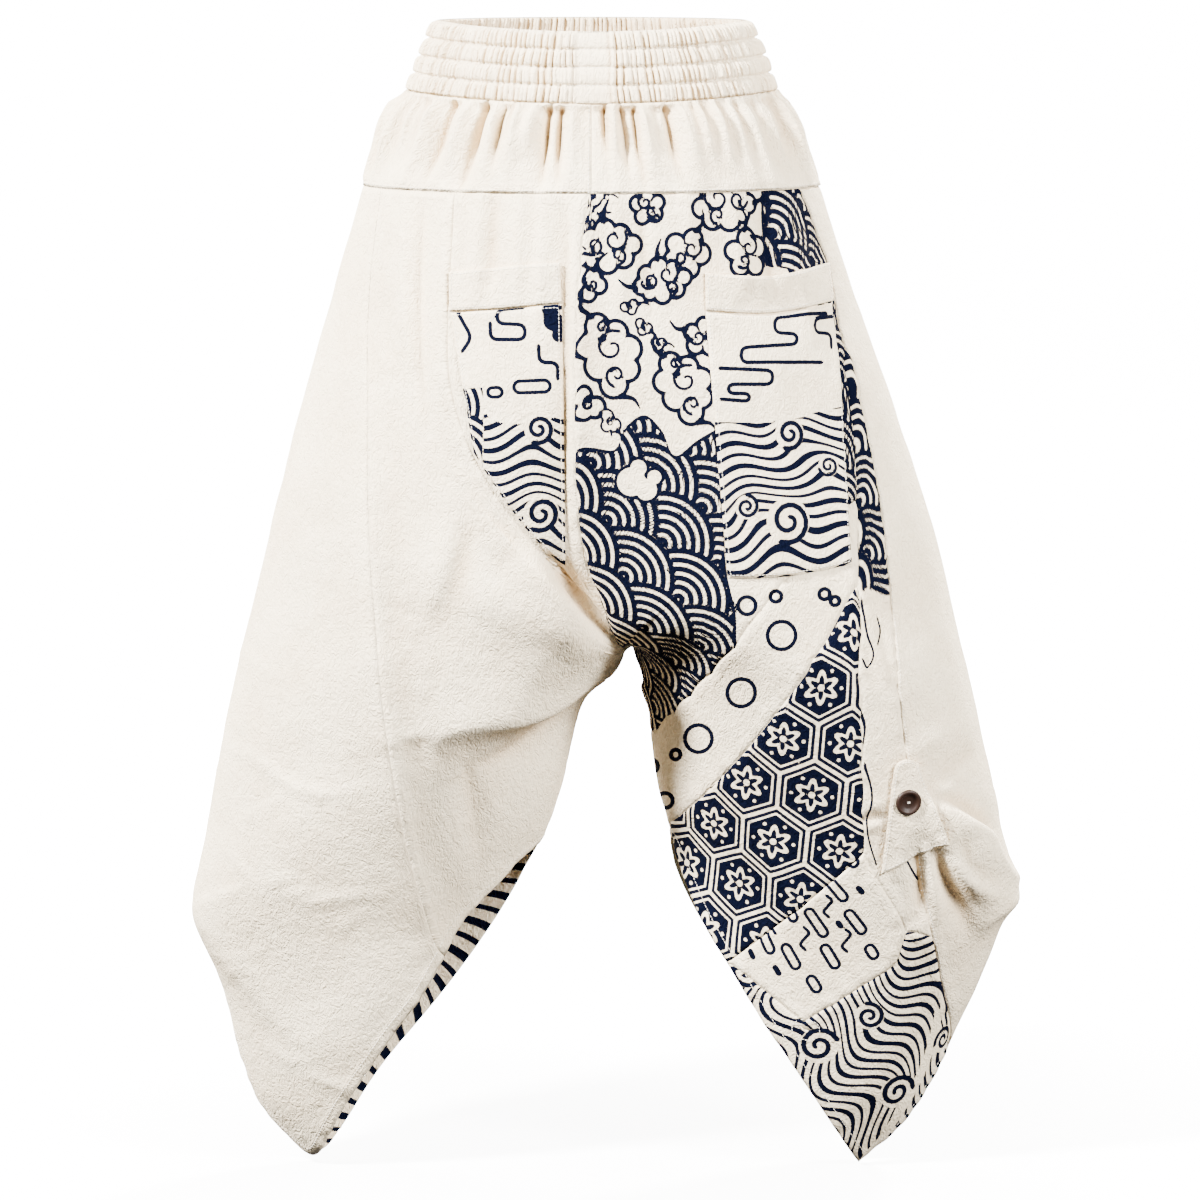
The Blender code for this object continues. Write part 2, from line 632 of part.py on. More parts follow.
def left_half(centre_front, centre_back, sheets):
    crotch = centre_front[-1]
    bubble_row = 3.2
    inseam_a = edge("left", "inner", 0, bubble_row, 2)
    inseam_a[0] = crotch
    inseam_b = edge("left", "inner", bubble_row, CORNER_ROW, 3)
    inseam_b[0] = inseam_a[-1]
    side = np.concatenate([edge("left", "outer", -1, WIDEST_ROW, 25),
                           edge("left", "outer", WIDEST_ROW, HEM_START_ROW, 4)[1:]])
    hem_side = {face: edge("left", "outer", HEM_START_ROW, CORNER_ROW, 5, face) for face in FOLDS}

    def front(name, fractions, start=None, end=None):
        return seam("left", "front", name, fractions, start, end)

    join = front("left_join", even(7))
    strip_a = front("left_strip_a", even(7), start=join[-1])
    strip_b = front("left_strip_b", even(3), start=strip_a[-1])
    strip_c = front("left_strip_c", even(6), start=strip_b[-1])
    strip_d = front("left_strip_d", even(3), start=strip_c[-1])
    strip_left = np.concatenate([strip_a, strip_b[1:], strip_c[1:], strip_d[1:]])
    strip_end = front("strip_end", even(2), start=strip_d[-1])
    strip_right = front("left_side", even(19), start=join[-1], end=strip_end[-1])
    side_low = front("left_side_low", even(3), start=strip_end[-1], end=side[-1])

    inward = rounded(10, 112)
    bubble_top = front("bubble_top", inward, start=inseam_a[-1], end=strip_a[-1])
    bubble_low = front("bubble_low", inward, start=inseam_b[-1], end=strip_b[-1])
    hem_upper = front("left_hem_upper", even(6), start=inseam_b[-1])
    mist_top = front("mist_top", even(10), start=hem_upper[-1], end=strip_c[-1])
    mist_left = front("mist_left", even(4), start=hem_upper[-1])
    mist_low = front("mist_low", even(10), start=mist_left[-1])
    mist_right = front("mist_right", even(1), start=mist_low[-1], end=strip_d[-1])
    hem_lower = front("left_hem_lower", even(17), start=hem_upper[-1], end=hem_side["front"][-1])

    inner = np.concatenate([centre_front, inseam_a[1:]])
    outer = np.concatenate([join, strip_a[1:]])
    top = level_top("left", "front", centre_front[0], join[0], inward)
    sheets["left_front_top"] = weld([patch("left", "front", inner, outer, top, bubble_top, inward)])
    sheets["left_bubble_band"] = weld([patch(
        "left", "front", inseam_b, strip_b, bubble_top, bubble_low, inward)])
    sheets["left_dark_band"] = weld([patch(
        "left", "front", hem_upper, strip_c, bubble_low, mist_top, inward)])
    mist_outer = np.concatenate([strip_d, mist_right[::-1][1:]])
    sheets["left_mist_patch"] = weld([patch(
        "left", "front", mist_left, mist_outer, mist_top, mist_low, even(10))])

    over = np.concatenate([mist_left, mist_low[1:], mist_right[1:], strip_end[1:]])
    rising = np.concatenate([hem_side["front"][::-1], side_low[::-1][1:]])
    start = np.repeat(hem_upper[-1][None], len(rising), axis=0)
    waves = patch("left", "front", start, rising, hem_lower, over, even(17))
    sheets["left_hem_waves"] = weld([waves[::-1]])

    sheets["left_side_strip"] = weld([patch(
        "left", "front", strip_left, strip_right, None, strip_end, even(2))])

    inner = np.concatenate([join, strip_right[1:], side_low[1:]])
    across = 1 - rounded(5, 70)[::-1]
    panel = patch("left", "front", inner, side,
                  level_top("left", "front", join[0], side[0], across), None, across)
    back_seam = back_side_seam("left", side)
    behind = patch("left", "back", side, back_seam,
                   level_top("left", "back", side[0], back_seam[0], even(2)), None, even(2))
    sheets["left_side_panel"] = weld([panel, behind])

    hem_back = seam("left", "back", "left_hem_back", even(17),
                    start=inseam_b[-1], end=hem_side["back"][-1])
    inner = np.concatenate([centre_back, inseam_a[1:], inseam_b[1:], hem_back[1:]])
    outer = np.concatenate([back_seam, hem_side["back"][1:]])
    across = 1 - rounded(9, 150)[::-1]
    sheets["left_leg_back"] = weld([patch(
        "left", "back", outer, inner,
        level_top("left", "back", back_seam[0], centre_back[0], across), None, across)])


def level_top(side, face, start, end, across):
    """Top edge of a panel, along the level seam under the yoke."""
    row = np.array([lift(side, face, start[0] + (end[0] - start[0]) * u, -YOKE_LOW) for u in across])
    row[0], row[-1] = start, end
    return row


def back_side_seam(side, outer_edge):
    """Seam behind the outer edge: the side panel turns 40 mm round to the back, and runs out
    where the hem begins."""
    turn = 1 if side == "left" else -1
    points = [outer_edge[-1]]
    for i in range(len(outer_edge) - 2, -1, -1):
        left = (len(outer_edge) - 1 - i) / (len(outer_edge) - 1)
        x, _, z = outer_edge[i]
        width = (12 + 22 * min(1.0, i / 5)) * MM * min(1.0, 2.2 * left)
        points.append(lift(side, "back", x - turn * width, z))
    return np.array(points[::-1])


# ---------------------------------------------------------------- pockets, tab and button

def on_the_panel(tree, x, z):
    """Point and normal of the panels' outer face that is seen at (x, z)."""
    place, normal, _, _ = tree.ray_cast(Vector((x, -1, z)), Vector((0, 1, 0)))
    return np.array(place), np.array(normal if normal.y < 0 else -normal)


def sewn_patch(name, tree, colour):
    """Pocket or tab: read from the panel under it and moved out."""
    top, bottom, down, across = PATCHES[name]
    upper = resample(np.c_[smooth(top), np.zeros(len(smooth(top)))], even(across))
    lower = resample(np.c_[smooth(bottom), np.zeros(len(smooth(bottom)))], even(across))
    grid = np.zeros((down + 1, across + 1, 3))
    for j in range(down + 1):
        for k in range(across + 1):
            x, drop, _ = upper[k] + (lower[k] - upper[k]) * j / down
            grid[j, k], _ = on_the_panel(tree, x * MM, -drop * MM)
    points, triangles = weld([grid])
    normals = shared_normals({name: (points, triangles)}, ())[name]
    raised = points + normals * (clearance(points, triangles, normals, tree) + PATCH_WALL)[:, None]
    return cloth_solid(name, raised, triangles, normals, colour, wall=PATCH_WALL)


def clearance(points, triangles, normals, tree):
    """Lift of each point that also clears a ridge of the panel between the patch's own points."""
    lifts = np.full(len(points), PATCH_LIFT)
    reach = 20 * MM
    shares = [(1, 0, 0), (0.5, 0.5, 0), (0, 0.5, 0.5), (0.5, 0, 0.5), (0.6, 0.2, 0.2), (0.2, 0.6, 0.2),
              (0.2, 0.2, 0.6)]
    for trio in triangles:
        for share in shares:
            place = np.array(share) @ points[list(trio)]
            outward = np.array(share) @ normals[list(trio)]
            start = Vector(place + outward * reach)
            hit, _, _, distance = tree.ray_cast(start, Vector(-outward), 2 * reach)
            above = reach - distance if hit else 0
            for index in trio:
                lifts[index] = max(lifts[index], PATCH_LIFT + above)
    return lifts


def button(tree):
    """Turned disc with a raised rim and a dished middle, lying on the tab."""
    profile = table("radius height", [
        (11.2, 1.6), (10.9, 2.7), (10.0, 3.2), (9.1, 3.0), (8.2, 2.3), (4.0, 1.9), (0.0, 1.9)])
    rise = BUTTON_THICK / profile["height"].max()
    spread = BUTTON_RADIUS / profile["radius"].max()
    outline = [(r * spread, h * rise) for r, h in zip(profile["radius"], profile["height"])]
    outline = [(0.0, 0.0), (9.6 * MM, 0.0)] + outline
    mesh = bpy.data.meshes.new("button")
    mesh.from_pydata([(r, 0, h) for r, h in outline], [(i, i + 1) for i in range(len(outline) - 1)], [])
    piece = bpy.data.objects.new("button", mesh)
    bpy.data.collections["harem_pants"].objects.link(piece)
    screw = piece.modifiers.new("turned", "SCREW")
    screw.steps = screw.render_steps = 28
    screw.use_merge_vertices = True
    screw.merge_threshold = 0.00001
    screw.use_normal_calculate = True
    place, normal = on_the_panel(tree, *BUTTON_PLACE)
    outward = Vector(normal).normalized()
    piece.matrix_world = (Matrix.Translation(Vector(place) + outward * 0.5 * MM)
                          @ outward.to_track_quat("Z", "Y").to_matrix().to_4x4())
    paint(piece, "button", WOOD, 0.45)
    return piece


# ---------------------------------------------------------------- the garment

def start_scene():
    for item in list(bpy.data.objects):
        bpy.data.objects.remove(item, do_unlink=True)
    collection = bpy.data.collections.new("harem_pants")
    bpy.context.scene.collection.children.link(collection)


def build():
    start_scene()
    waistband()

    yoke = {"yoke_front_right": weld([yoke_grid(-90, 0)]),
            "yoke_front_left": weld([yoke_grid(0, 90)]),
            "yoke_back": weld([yoke_grid(90, 270)])}
    yoke_normals = shared_normals(yoke, (BAND_LOW, BAND_LOW + FRONT_DIP, YOKE_LOW))
    for name, (points, triangles) in yoke.items():
        cloth_solid(name, points, triangles, yoke_normals[name], CREAM)

    centre_front = centre_seam("front", 12)
    centre_back = centre_seam("back", 12)
    centre_back[-1] = centre_front[-1]
    sheets = {}
    right_half(centre_front, centre_back, sheets)
    left_half(centre_front, centre_back, sheets)
    normals = shared_normals(sheets, (YOKE_LOW,))
    colours = {"right_leg_back": PRINTED, "left_front_top": PRINTED, "left_bubble_band": CREAM,
               "left_dark_band": NAVY_PRINTED, "left_mist_patch": CREAM, "left_hem_waves": PRINTED,
               "left_leg_back": CREAM}
    fronts, front_faces = [], []
    for name, (points, triangles) in sheets.items():
        cloth_solid(name, points, triangles, normals[name], colours.get(name, CREAM))
        base = len(fronts)
        fronts += [Vector(point) for point in points]
        front_faces += [tuple(base + i for i in trio) for trio in triangles]
    tree = BVHTree.FromPolygons(fronts, front_faces)

    sewn = {name: sewn_patch(name, tree, PRINTED if name.endswith("body") else CREAM) for name in PATCHES}
    tab = sewn["left_tab"].data
    tab_tree = BVHTree.FromPolygons([v.co for v in tab.vertices], [tuple(p.vertices) for p in tab.polygons])
    button(tab_tree)


build()
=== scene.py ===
import math

import bmesh
import bpy
import numpy as np
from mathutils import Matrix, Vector, noise
from mathutils.kdtree import KDTree


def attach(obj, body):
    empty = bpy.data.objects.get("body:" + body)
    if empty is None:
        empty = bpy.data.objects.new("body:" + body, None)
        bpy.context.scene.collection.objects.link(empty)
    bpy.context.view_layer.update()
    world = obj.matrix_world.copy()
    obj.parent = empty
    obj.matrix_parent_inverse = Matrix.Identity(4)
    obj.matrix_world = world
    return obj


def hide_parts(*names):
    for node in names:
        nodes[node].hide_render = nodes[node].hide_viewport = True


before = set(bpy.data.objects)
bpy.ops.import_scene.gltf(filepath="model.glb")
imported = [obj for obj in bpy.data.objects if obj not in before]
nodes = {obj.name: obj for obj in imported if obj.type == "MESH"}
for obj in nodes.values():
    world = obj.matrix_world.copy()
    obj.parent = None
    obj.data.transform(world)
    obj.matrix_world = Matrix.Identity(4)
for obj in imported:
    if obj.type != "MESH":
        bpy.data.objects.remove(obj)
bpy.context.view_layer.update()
mm = 0.001


# small helpers

def linearColour(code):
    parts = [int(code[i:i + 2], 16) / 255 for i in (1, 3, 5)]
    return [p / 12.92 if p <= 0.04045 else ((p + 0.055) / 1.055) ** 2.4 for p in parts] + [1]


def smoothStep(low, high, value):
    t = np.clip((value - low) / (high - low), 0, 1)
    return t * t * (3 - 2 * t)


def smoothCurve(knots, values, at):
    knots, values = np.array(knots, float), np.array(values, float)
    slopes = np.gradient(values, knots)
    i = np.clip(np.searchsorted(knots, at) - 1, 0, len(knots) - 2)
    span = knots[i + 1] - knots[i]
    t = (at - knots[i]) / span
    bend = t * (1 - t) * span * (slopes[i] * (1 - t) - slopes[i + 1] * t)
    return values[i] + (values[i + 1] - values[i]) * t * t * (3 - 2 * t) + bend


def smoothLine(points, pitch):
    points = np.array(points, float)
    along = np.concatenate([[0], np.cumsum(np.linalg.norm(np.diff(points, axis=0), axis=1))])
    places = np.linspace(0, along[-1], max(3, int(along[-1] / pitch) + 1))
    if len(points) == 2:
        return points[0] + (points[1] - points[0]) * (places / along[-1])[:, None]
    return np.stack([smoothCurve(along, column, places) for column in points.T], axis=1)


def lineDistance(points, line):
    best = np.full(len(points), 9e9)
    place = np.zeros(len(points))
    for k, (a, b) in enumerate(zip(line[:-1], line[1:])):
        step = b - a
        t = np.clip((points - a) @ step / max(step @ step, 1e-12), 0, 1)
        away = points - a - t[:, None] * step
        distance = np.hypot(away[:, 0], away[:, 1])
        nearer = distance < best
        best[nearer] = distance[nearer]
        place[nearer] = (k + t[nearer]) / (len(line) - 1)
    return best, place


# where the garment is looked at from, in mm and degrees
view = {
    "distance": 4500,
    "tilt": 8,
    "target": (6.9, 0.0, -465.1),
    "scale": (1.006, 1.014),
    "middle": (6.9, 469.1),
}


def asSeen(points):
    # x and drop in mm of where points show on an upright pane through the middle of the garment
    tilt = math.radians(view["tilt"])
    forward = np.array([0, math.cos(tilt), -math.sin(tilt)])
    up = np.array([0, math.sin(tilt), math.cos(tilt)])
    offset = points / mm - view["target"]
    depth = offset @ forward + view["distance"]
    x = view["middle"][0] + offset[:, 0] / depth * view["distance"] * view["scale"][0]
    drop = view["middle"][1] - offset @ up / depth * view["distance"] * view["scale"][1]
    return np.stack([x, drop], axis=1)


def asBehind(points):
    return points[:, [0, 2]] / mm * (1, -1)


def linked(name, data):
    thing = bpy.data.objects.new(name, data)
    bpy.context.scene.collection.objects.link(thing)
    return thing


def ringFaces(rows, count, closed=False):
    # faces between rows of points that each go once round
    k = np.arange(count)
    n = (k + 1) % count
    faces = []
    for row in range(rows if closed else rows - 1):
        below = (row + 1) % rows
        faces.append(np.stack([row * count + k, below * count + k, below * count + n, row * count + n], 1))
    return np.concatenate(faces)


def makeMesh(name, points, faces, material, uvs=None, values=None):
    mesh = bpy.data.meshes.new(name)
    mesh.from_pydata(points.tolist(), [], faces.tolist())
    mesh.polygons.foreach_set("use_smooth", [True] * len(mesh.polygons))
    if uvs is not None:
        layer = mesh.uv_layers.new(name="cut")
        layer.data.foreach_set("uv", np.asarray(uvs, np.float32).ravel())
    for key, value in (values or {}).items():
        attribute = mesh.attributes.new(key, "FLOAT", "POINT")
        attribute.data.foreach_set("value", np.asarray(value, np.float32))
    mesh.materials.append(material)
    return linked(name, mesh)


def giveWall(thing, thickness):
    wall = thing.modifiers.new("cloth thickness", "SOLIDIFY")
    wall.thickness = thickness
    wall.offset = -1
    wall.use_even_offset = False


# materials

def addNode(tree, kind, settings=None, inputs=None):
    node = tree.nodes.new("ShaderNode" + kind)
    for key, value in (settings or {}).items():
        setattr(node, key, value)
    for socket, value in (inputs or {}).items():
        if isinstance(value, bpy.types.NodeSocket):
            tree.links.new(value, node.inputs[socket])
        else:
            node.inputs[socket].default_value = value
    return node


def newMaterial(name):
    material = bpy.data.materials.new(name)
    material.use_nodes = True
    tree = material.node_tree
    tree.nodes.clear()
    shader = addNode(tree, "BsdfPrincipled")
    addNode(tree, "OutputMaterial", inputs={"Surface": shader.outputs[0]})
    return material, tree, shader


def mixed(tree, share, first, second):
    # each colour is an sRGB value or a socket
    first, second = (linearColour(c) if isinstance(c, str) else c for c in (first, second))
    return addNode(tree, "Mix", {"data_type": "RGBA"}, {0: share, 6: first, 7: second}).outputs[2]


def finishShader(tree, shader, colour, settings, height=None, distance=1.0):
    tree.links.new(colour, shader.inputs["Base Color"])
    if height is not None:
        bump = addNode(tree, "Bump", None, {"Height": height, "Distance": distance})
        tree.links.new(bump.outputs[0], shader.inputs["Normal"])
    for socket, value in settings.items():
        shader.inputs[socket].default_value = value


cotton = {
    "cream": "#F1E0C1",
    "creamShade": "#E2CDAC",
    "mottleShare": 0.6,
    "fleckShare": 0.5,
    # painted shade: the tan mixed into the bottoms of creases and folds, and how much of it at most
    "paintedFoldShadow": "#B79A72",
    "paintedShadowShare": 0.5,
    "ink": "#02040F",
    "inkWorn": "#070C24",
    "roughness": 0.92,
    "sheen": 0.02,
    "sheenRoughness": 0.6,
    "specular": 0.1,
    "inkedSpecular": 0.03,
    "threadPitch": 1.1 * mm,
    # heights of the relief
    "weaveHeight": 0.10 * mm,
    "slubHeight": 0.25 * mm,
    "strokeHeight": 1.6 * mm,
    "finePucker": 0.22 * mm,
    "crumpleHeight": 1.6 * mm,
    "seamDepth": 0.7 * mm,
    "allowanceHeight": 0.25 * mm,
    "hemHeight": 0.4 * mm,
    # half the width of a printed wave line and how much every other one differs, in pitches
    "waveHalf": 0.215,
    "waveChange": 0.05,
}


def cottonMaterial(name, printed):
    material, tree, shader = newMaterial(name)
    look = cotton
    uv = addNode(tree, "UVMap", {"uv_map": "cut"}).outputs[0]

    def noiseAt(scale, stretch=(1, 1, 1), detail=2.0, wriggle=0.0):
        place = addNode(tree, "VectorMath", {"operation": "MULTIPLY"}, {0: uv, 1: stretch}).outputs[0]
        inputs = {"Vector": place, "Scale": scale, "Detail": detail, "Distortion": wriggle}
        return addNode(tree, "TexNoise", None, inputs).outputs[0]

    def maths(operation, a, b=0.0, clamp=False):
        return addNode(tree, "Math", {"operation": operation, "use_clamp": clamp}, {0: a, 1: b}).outputs[0]

    def step(value, low, high, start=0.0, end=1.0):
        inputs = {0: value, 1: low, 2: high, 3: start, 4: end}
        return addNode(tree, "MapRange", {"interpolation_type": "SMOOTHSTEP"}, inputs).outputs[0]

    def known(key):
        return addNode(tree, "Attribute", {"attribute_name": key}).outputs["Fac"]

    # plain weave: thin warp and weft threads with slubs, drawn about twice as coarse as real ones
    wavePeriod = 0.314
    scale = wavePeriod / look["threadPitch"]
    threads = {"Vector": uv, "Scale": scale, "Distortion": 1.2, "Detail Scale": 3.0}
    warp, weft = (addNode(tree, "TexWave", {"bands_direction": way}, threads).outputs["Fac"] for way in "XY")
    slubs = maths("ADD", noiseAt(1.0, (900, 60, 1)), noiseAt(1.0, (60, 900, 1)))
    strokes = noiseAt(1.0, (210, 130, 1), 1.0, 2.4)
    seam, hem = known("seam"), known("hem")
    height = 0.0
    for part, key in [
            (maths("MAXIMUM", warp, weft), "weaveHeight"), (slubs, "slubHeight"), (strokes, "strokeHeight"),
            (noiseAt(330.0), "finePucker"), (noiseAt(1.0, (95, 70, 1), 4.0), "crumpleHeight"),
            # seams sink, and the allowance pressed under them lifts the cloth beside them
            (step(seam, 0.0, 2.2), "seamDepth"), (step(seam, 7.5, 9.5, 1.0, 0.0), "allowanceHeight"),
            (step(hem, 10.5, 12.0, 1.0, 0.0), "hemHeight"), (step(hem, 0.0, 1.6), "hemHeight")]:
        height = maths("ADD", maths("MULTIPLY", part, look[key]), height)

    tone = maths("MULTIPLY", step(noiseAt(14.0, detail=4.0), 0.3, 0.75), look["mottleShare"])
    fleck = maths("SUBTRACT", maths("ADD", slubs, maths("MULTIPLY", strokes, 2.4)), 1.95)
    tone = maths("ADD", tone, maths("MULTIPLY", fleck, look["fleckShare"]), True)
    colour = mixed(tree, tone, look["cream"], look["creamShade"])
    # painted shade: the bottoms of creases are darkened towards tan, standing in for the shade that falls in
    # them
    colour = mixed(tree, maths("MULTIPLY", known("crease"), look["paintedShadowShare"]), colour, look["paintedFoldShadow"])
    if printed:
        ragged = maths("MULTIPLY", maths("SUBTRACT", noiseAt(700.0), 0.5), 0.35)
        edge = maths("ADD", maths("ABSOLUTE", known("side")), ragged)
        cover = maths("MULTIPLY", step(edge, 0.84, 1.16, 1.0, 0.0), step(known("ink"), 0.35, 0.6, 1.0, 0.0))
        # every other line of the waves is thick
        wave = known("wave")
        swing = maths("MULTIPLY", maths("COSINE", maths("MULTIPLY", wave, math.pi)), look["waveChange"])
        toLine = maths("SUBTRACT", maths("PINGPONG", wave, 0.5), maths("ADD", swing, look["waveHalf"]))
        rough = maths("ADD", toLine, maths("MULTIPLY", ragged, 0.06))
        line = maths("MULTIPLY", step(rough, -0.03, 0.03, 1.0, 0.0), step(known("waved"), -0.4, 0.4))
        cover = maths("ABSOLUTE", maths("SUBTRACT", known("ground"), maths("MAXIMUM", cover, line)))
        dye = mixed(tree, maths("MULTIPLY", slubs, 0.25), look["ink"], look["inkWorn"])
        colour = mixed(tree, cover, colour, dye)
    finishShader(tree, shader, colour, {
        "Roughness": look["roughness"],
        "Sheen Weight": 0 if printed else look["sheen"],
        "Sheen Roughness": look["sheenRoughness"],
        "Specular IOR Level": look["inkedSpecular" if printed else "specular"],
    }, height)
    return material


# washed cotton canvas: matt, slightly uneven cream with soft slubs and small crumples
creamCotton = cottonMaterial("cotton canvas, washed", False)
# the same canvas screen printed in navy: flat ink with slightly ragged edges on the threads
printedCotton = cottonMaterial("cotton canvas, screen printed", True)

threadLook = {
    "shade": "#D6CCBA",
    "light": "#EFE8DB",
    "twistScale": 500.0,
    "twistHeight": 0.05 * mm,
    "roughness": 0.8,
}


def threadMaterial():
    # spun cotton thread: matt, with its twist as fine slanting ridges
    material, tree, shader = newMaterial("cotton sewing thread, spun")
    look = threadLook
    place = addNode(tree, "TexCoord").outputs["Object"]
    inputs = {"Vector": place, "Scale": look["twistScale"], "Distortion": 2.0}
    twist = addNode(tree, "TexWave", {"bands_direction": "DIAGONAL"}, inputs).outputs["Fac"]
    colour = mixed(tree, twist, look["shade"], look["light"])
    finishShader(tree, shader, colour, {"Roughness": look["roughness"]}, twist, look["twistHeight"])
    return material


sewingThread = threadMaterial()

woodLook = {
    "shade": "#140A06",
    "light": "#2B190F",
    "grainScale": 900.0,
    "grainStretch": (1.0, 1.0, 0.25),
    "poreScale": 3200.0,
    "poreDepth": 0.06 * mm,
    "roughness": 0.5,
    "specular": 0.25,
}


def woodMaterial():
    # turned dark wood: grain rings, a waxed surface that shines softly along the rim
    material, tree, shader = newMaterial("dark wood, turned and waxed")
    look = woodLook
    place = addNode(tree, "TexCoord").outputs["Object"]
    along = {0: place, 1: look["grainStretch"]}
    stretched = addNode(tree, "VectorMath", {"operation": "MULTIPLY"}, along).outputs[0]
    inputs = {"Vector": stretched, "Scale": look["grainScale"], "Detail": 6.0, "Distortion": 1.5}
    grain = addNode(tree, "TexNoise", None, inputs).outputs[0]
    pores = addNode(tree, "TexNoise", None, {"Vector": stretched, "Scale": look["poreScale"]}).outputs[0]
    colour = mixed(tree, grain, look["shade"], look["light"])
    settings = {"Roughness": look["roughness"], "Specular IOR Level": look["specular"]}
    finishShader(tree, shader, colour, settings, pores, look["poreDepth"])
    return material


darkWood = woodMaterial()


# folds of the cloth

# height, half width to the left and to the right of the path, softness of the crest (one for all behind),
# then x and drop of its points, all in mm; the front ones are given as seen, the back ones as they lie
foldsFront = [
    # below the yoke and beside the pockets
    (5.2, 7.2, 7.2, 3, [(-161, 112), (-163, 190), (-158, 260)]),
    (-5.1, 4.8, 4.8, 1.6, [(-146, 112), (-150, 180), (-150, 250), (-144, 320)]),
    (4.5, 7.2, 7.2, 3, [(-126, 112), (-128, 200), (-130, 290)]),
    (5.2, 8, 8, 3, [(-97, 112), (-99, 165), (-100, 215)]),
    (-4.2, 4.8, 4.8, 1.6, [(-84, 112), (-86, 150), (-88, 200)]),
    (4.5, 7.2, 7.2, 3, [(-62, 112), (-63, 150), (-66, 215)]),
    (3.8, 6.4, 6.4, 3, [(-42, 112), (-43, 170), (-48, 240)]),
    (3.3, 7.2, 7.2, 3, [(20, 112), (22, 160), (28, 230)]),
    (-3.4, 4.8, 4.8, 1.6, [(44, 112), (46, 165), (52, 220)]),
    (3.8, 8, 8, 3, [(80, 112), (84, 150), (86, 190)]),
    (3.6, 8, 8, 3, [(118, 112), (126, 150), (130, 200)]),
    (-3.7, 5.4, 5.4, 1.6, [(146, 112), (152, 160), (158, 210)]),
    (3.9, 8, 8, 3, [(164, 112), (176, 170), (190, 240)]),
    (-7, 5, 10, 2, [(-22, 125), (-22, 208), (-22, 295), (-24, 364), (-22, 434)]),
    (5, 12, 6, 2.5, [(-15, 120), (-16, 208), (-16, 277), (-11, 347), (-2, 417), (10, 466), (26, 501)]),
    # crotch and thighs
    (18, 9, 36, 3, [(-64, 426), (-28, 467), (-2, 495), (17, 514)]),
    (-20, 9, 12, 3, [(-31, 439), (-12, 466), (10, 501)]),
    (17, 40, 11, 3.5, [(-134, 585), (-97, 575), (-54, 563), (-17, 546), (10, 523)]),
    (-12, 9, 26, 2, [(-99, 617), (-62, 600), (-28, 572), (3, 537)]),
    (-5, 9, 11, 4, [(-106, 607), (-102, 644), (-98, 698)]),
    (8, 11, 46, 4, [(-190, 295), (-189, 399), (-187, 504), (-176, 574), (-168, 644), (-156, 705), (-140, 757),
                    (-131, 785)]),
    (7, 10, 32, 2.5, [(-121, 395), (-125, 434), (-131, 460), (-145, 487)]),
    (-6, 13, 10, 4, [(-109, 399), (-115, 445), (-126, 471)]),
    (-3, 14, 14, 6, [(-93, 417), (-66, 466), (-38, 511)]),
    (3, 16, 12, 5, [(-31, 644), (-48, 696), (-74, 741)]),
    # lower right leg, with its thin pressed creases
    (5, 26, 9, 2, [(-348, 735), (-326, 764), (-296, 805), (-260, 848)]),
    (2.2, 4, 6, 1, [(-314, 597), (-287, 610), (-266, 627), (-235, 637), (-199, 634)]),
    (1.4, 4, 6, 1, [(-306, 663), (-285, 651), (-266, 641)]),
    (1.8, 4, 6, 1, [(-343, 735), (-320, 727), (-296, 717)]),
    (1.5, 4, 6, 1, [(-275, 727), (-256, 725), (-240, 723)]),
    (1.9, 4, 6, 1, [(-258, 736), (-222, 728), (-182, 724)]),
    (1.6, 4, 6, 1, [(-311, 687), (-304, 703), (-294, 713)]),
    (1.4, 4, 6, 1, [(-285, 719), (-266, 712), (-251, 710)]),
    (1.5, 4, 6, 1, [(-221, 757), (-207, 746)]),
    (1.6, 4, 6, 1, [(-325, 776), (-304, 781), (-285, 774)]),
    (1.6, 4, 6, 1, [(-318, 794), (-301, 790), (-285, 797)]),
    (1.6, 4, 6, 1, [(-247, 882), (-228, 889), (-209, 898)]),
    (1.4, 4, 6, 1, [(-280, 858), (-261, 870), (-239, 872)]),
    (1.2, 4, 6, 1, [(-306, 511), (-285, 528), (-266, 542)]),
    (1.3, 4, 6, 1, [(-151, 539), (-145, 553)]),
    # left leg
    (4, 16, 12, 5, [(213, 208), (220, 295), (225, 399), (230, 504)]),
    (3, 14, 14, 6, [(235, 247), (266, 330), (295, 434), (308, 516)]),
    (-2.5, 14, 14, 6, [(85, 661), (128, 713), (163, 766)]),
    (3, 14, 12, 5, [(111, 626), (154, 687), (180, 766)]),
    # puffs that the buttoned tab gathers
    (16, 6, 22, 1.6, [(294, 649), (310, 653), (325, 663), (336, 671), (343, 687), (354, 705), (365, 714)]),
    (-7, 9, 6, 2, [(304, 643), (323, 653), (341, 666), (351, 689)]),
    (10, 8, 24, 2, [(366, 716), (360, 728), (344, 741), (327, 760)]),
    (2.6, 4, 4, 1, [(292, 639), (303, 635), (314, 635)]),
    (-9, 6, 8, 1.5, [(282, 684), (284, 713), (285, 741)]),
    (-10, 7, 9, 2, [(294, 680), (304, 706), (314, 726), (324, 753)]),
    (6, 6, 6, 2, [(289, 689), (294, 718), (299, 748)]),
    (7, 8, 8, 2, [(306, 684), (320, 710), (343, 727)]),
    (-2.4, 6, 6, 2, [(317, 668), (322, 694), (336, 717)]),
    (3, 10, 10, 4, [(282, 602), (298, 589), (317, 579)]),
    (-2.6, 8, 8, 3, [(299, 626), (317, 612), (332, 598)]),
    (3, 4, 4, 1.2, [(234, 654), (242, 649), (251, 645)]),
    (-3, 3, 3, 1, [(234, 663), (242, 659), (251, 657)]),
    (2.6, 4, 4, 1.2, [(232, 673), (240, 667), (251, 664)]),
]
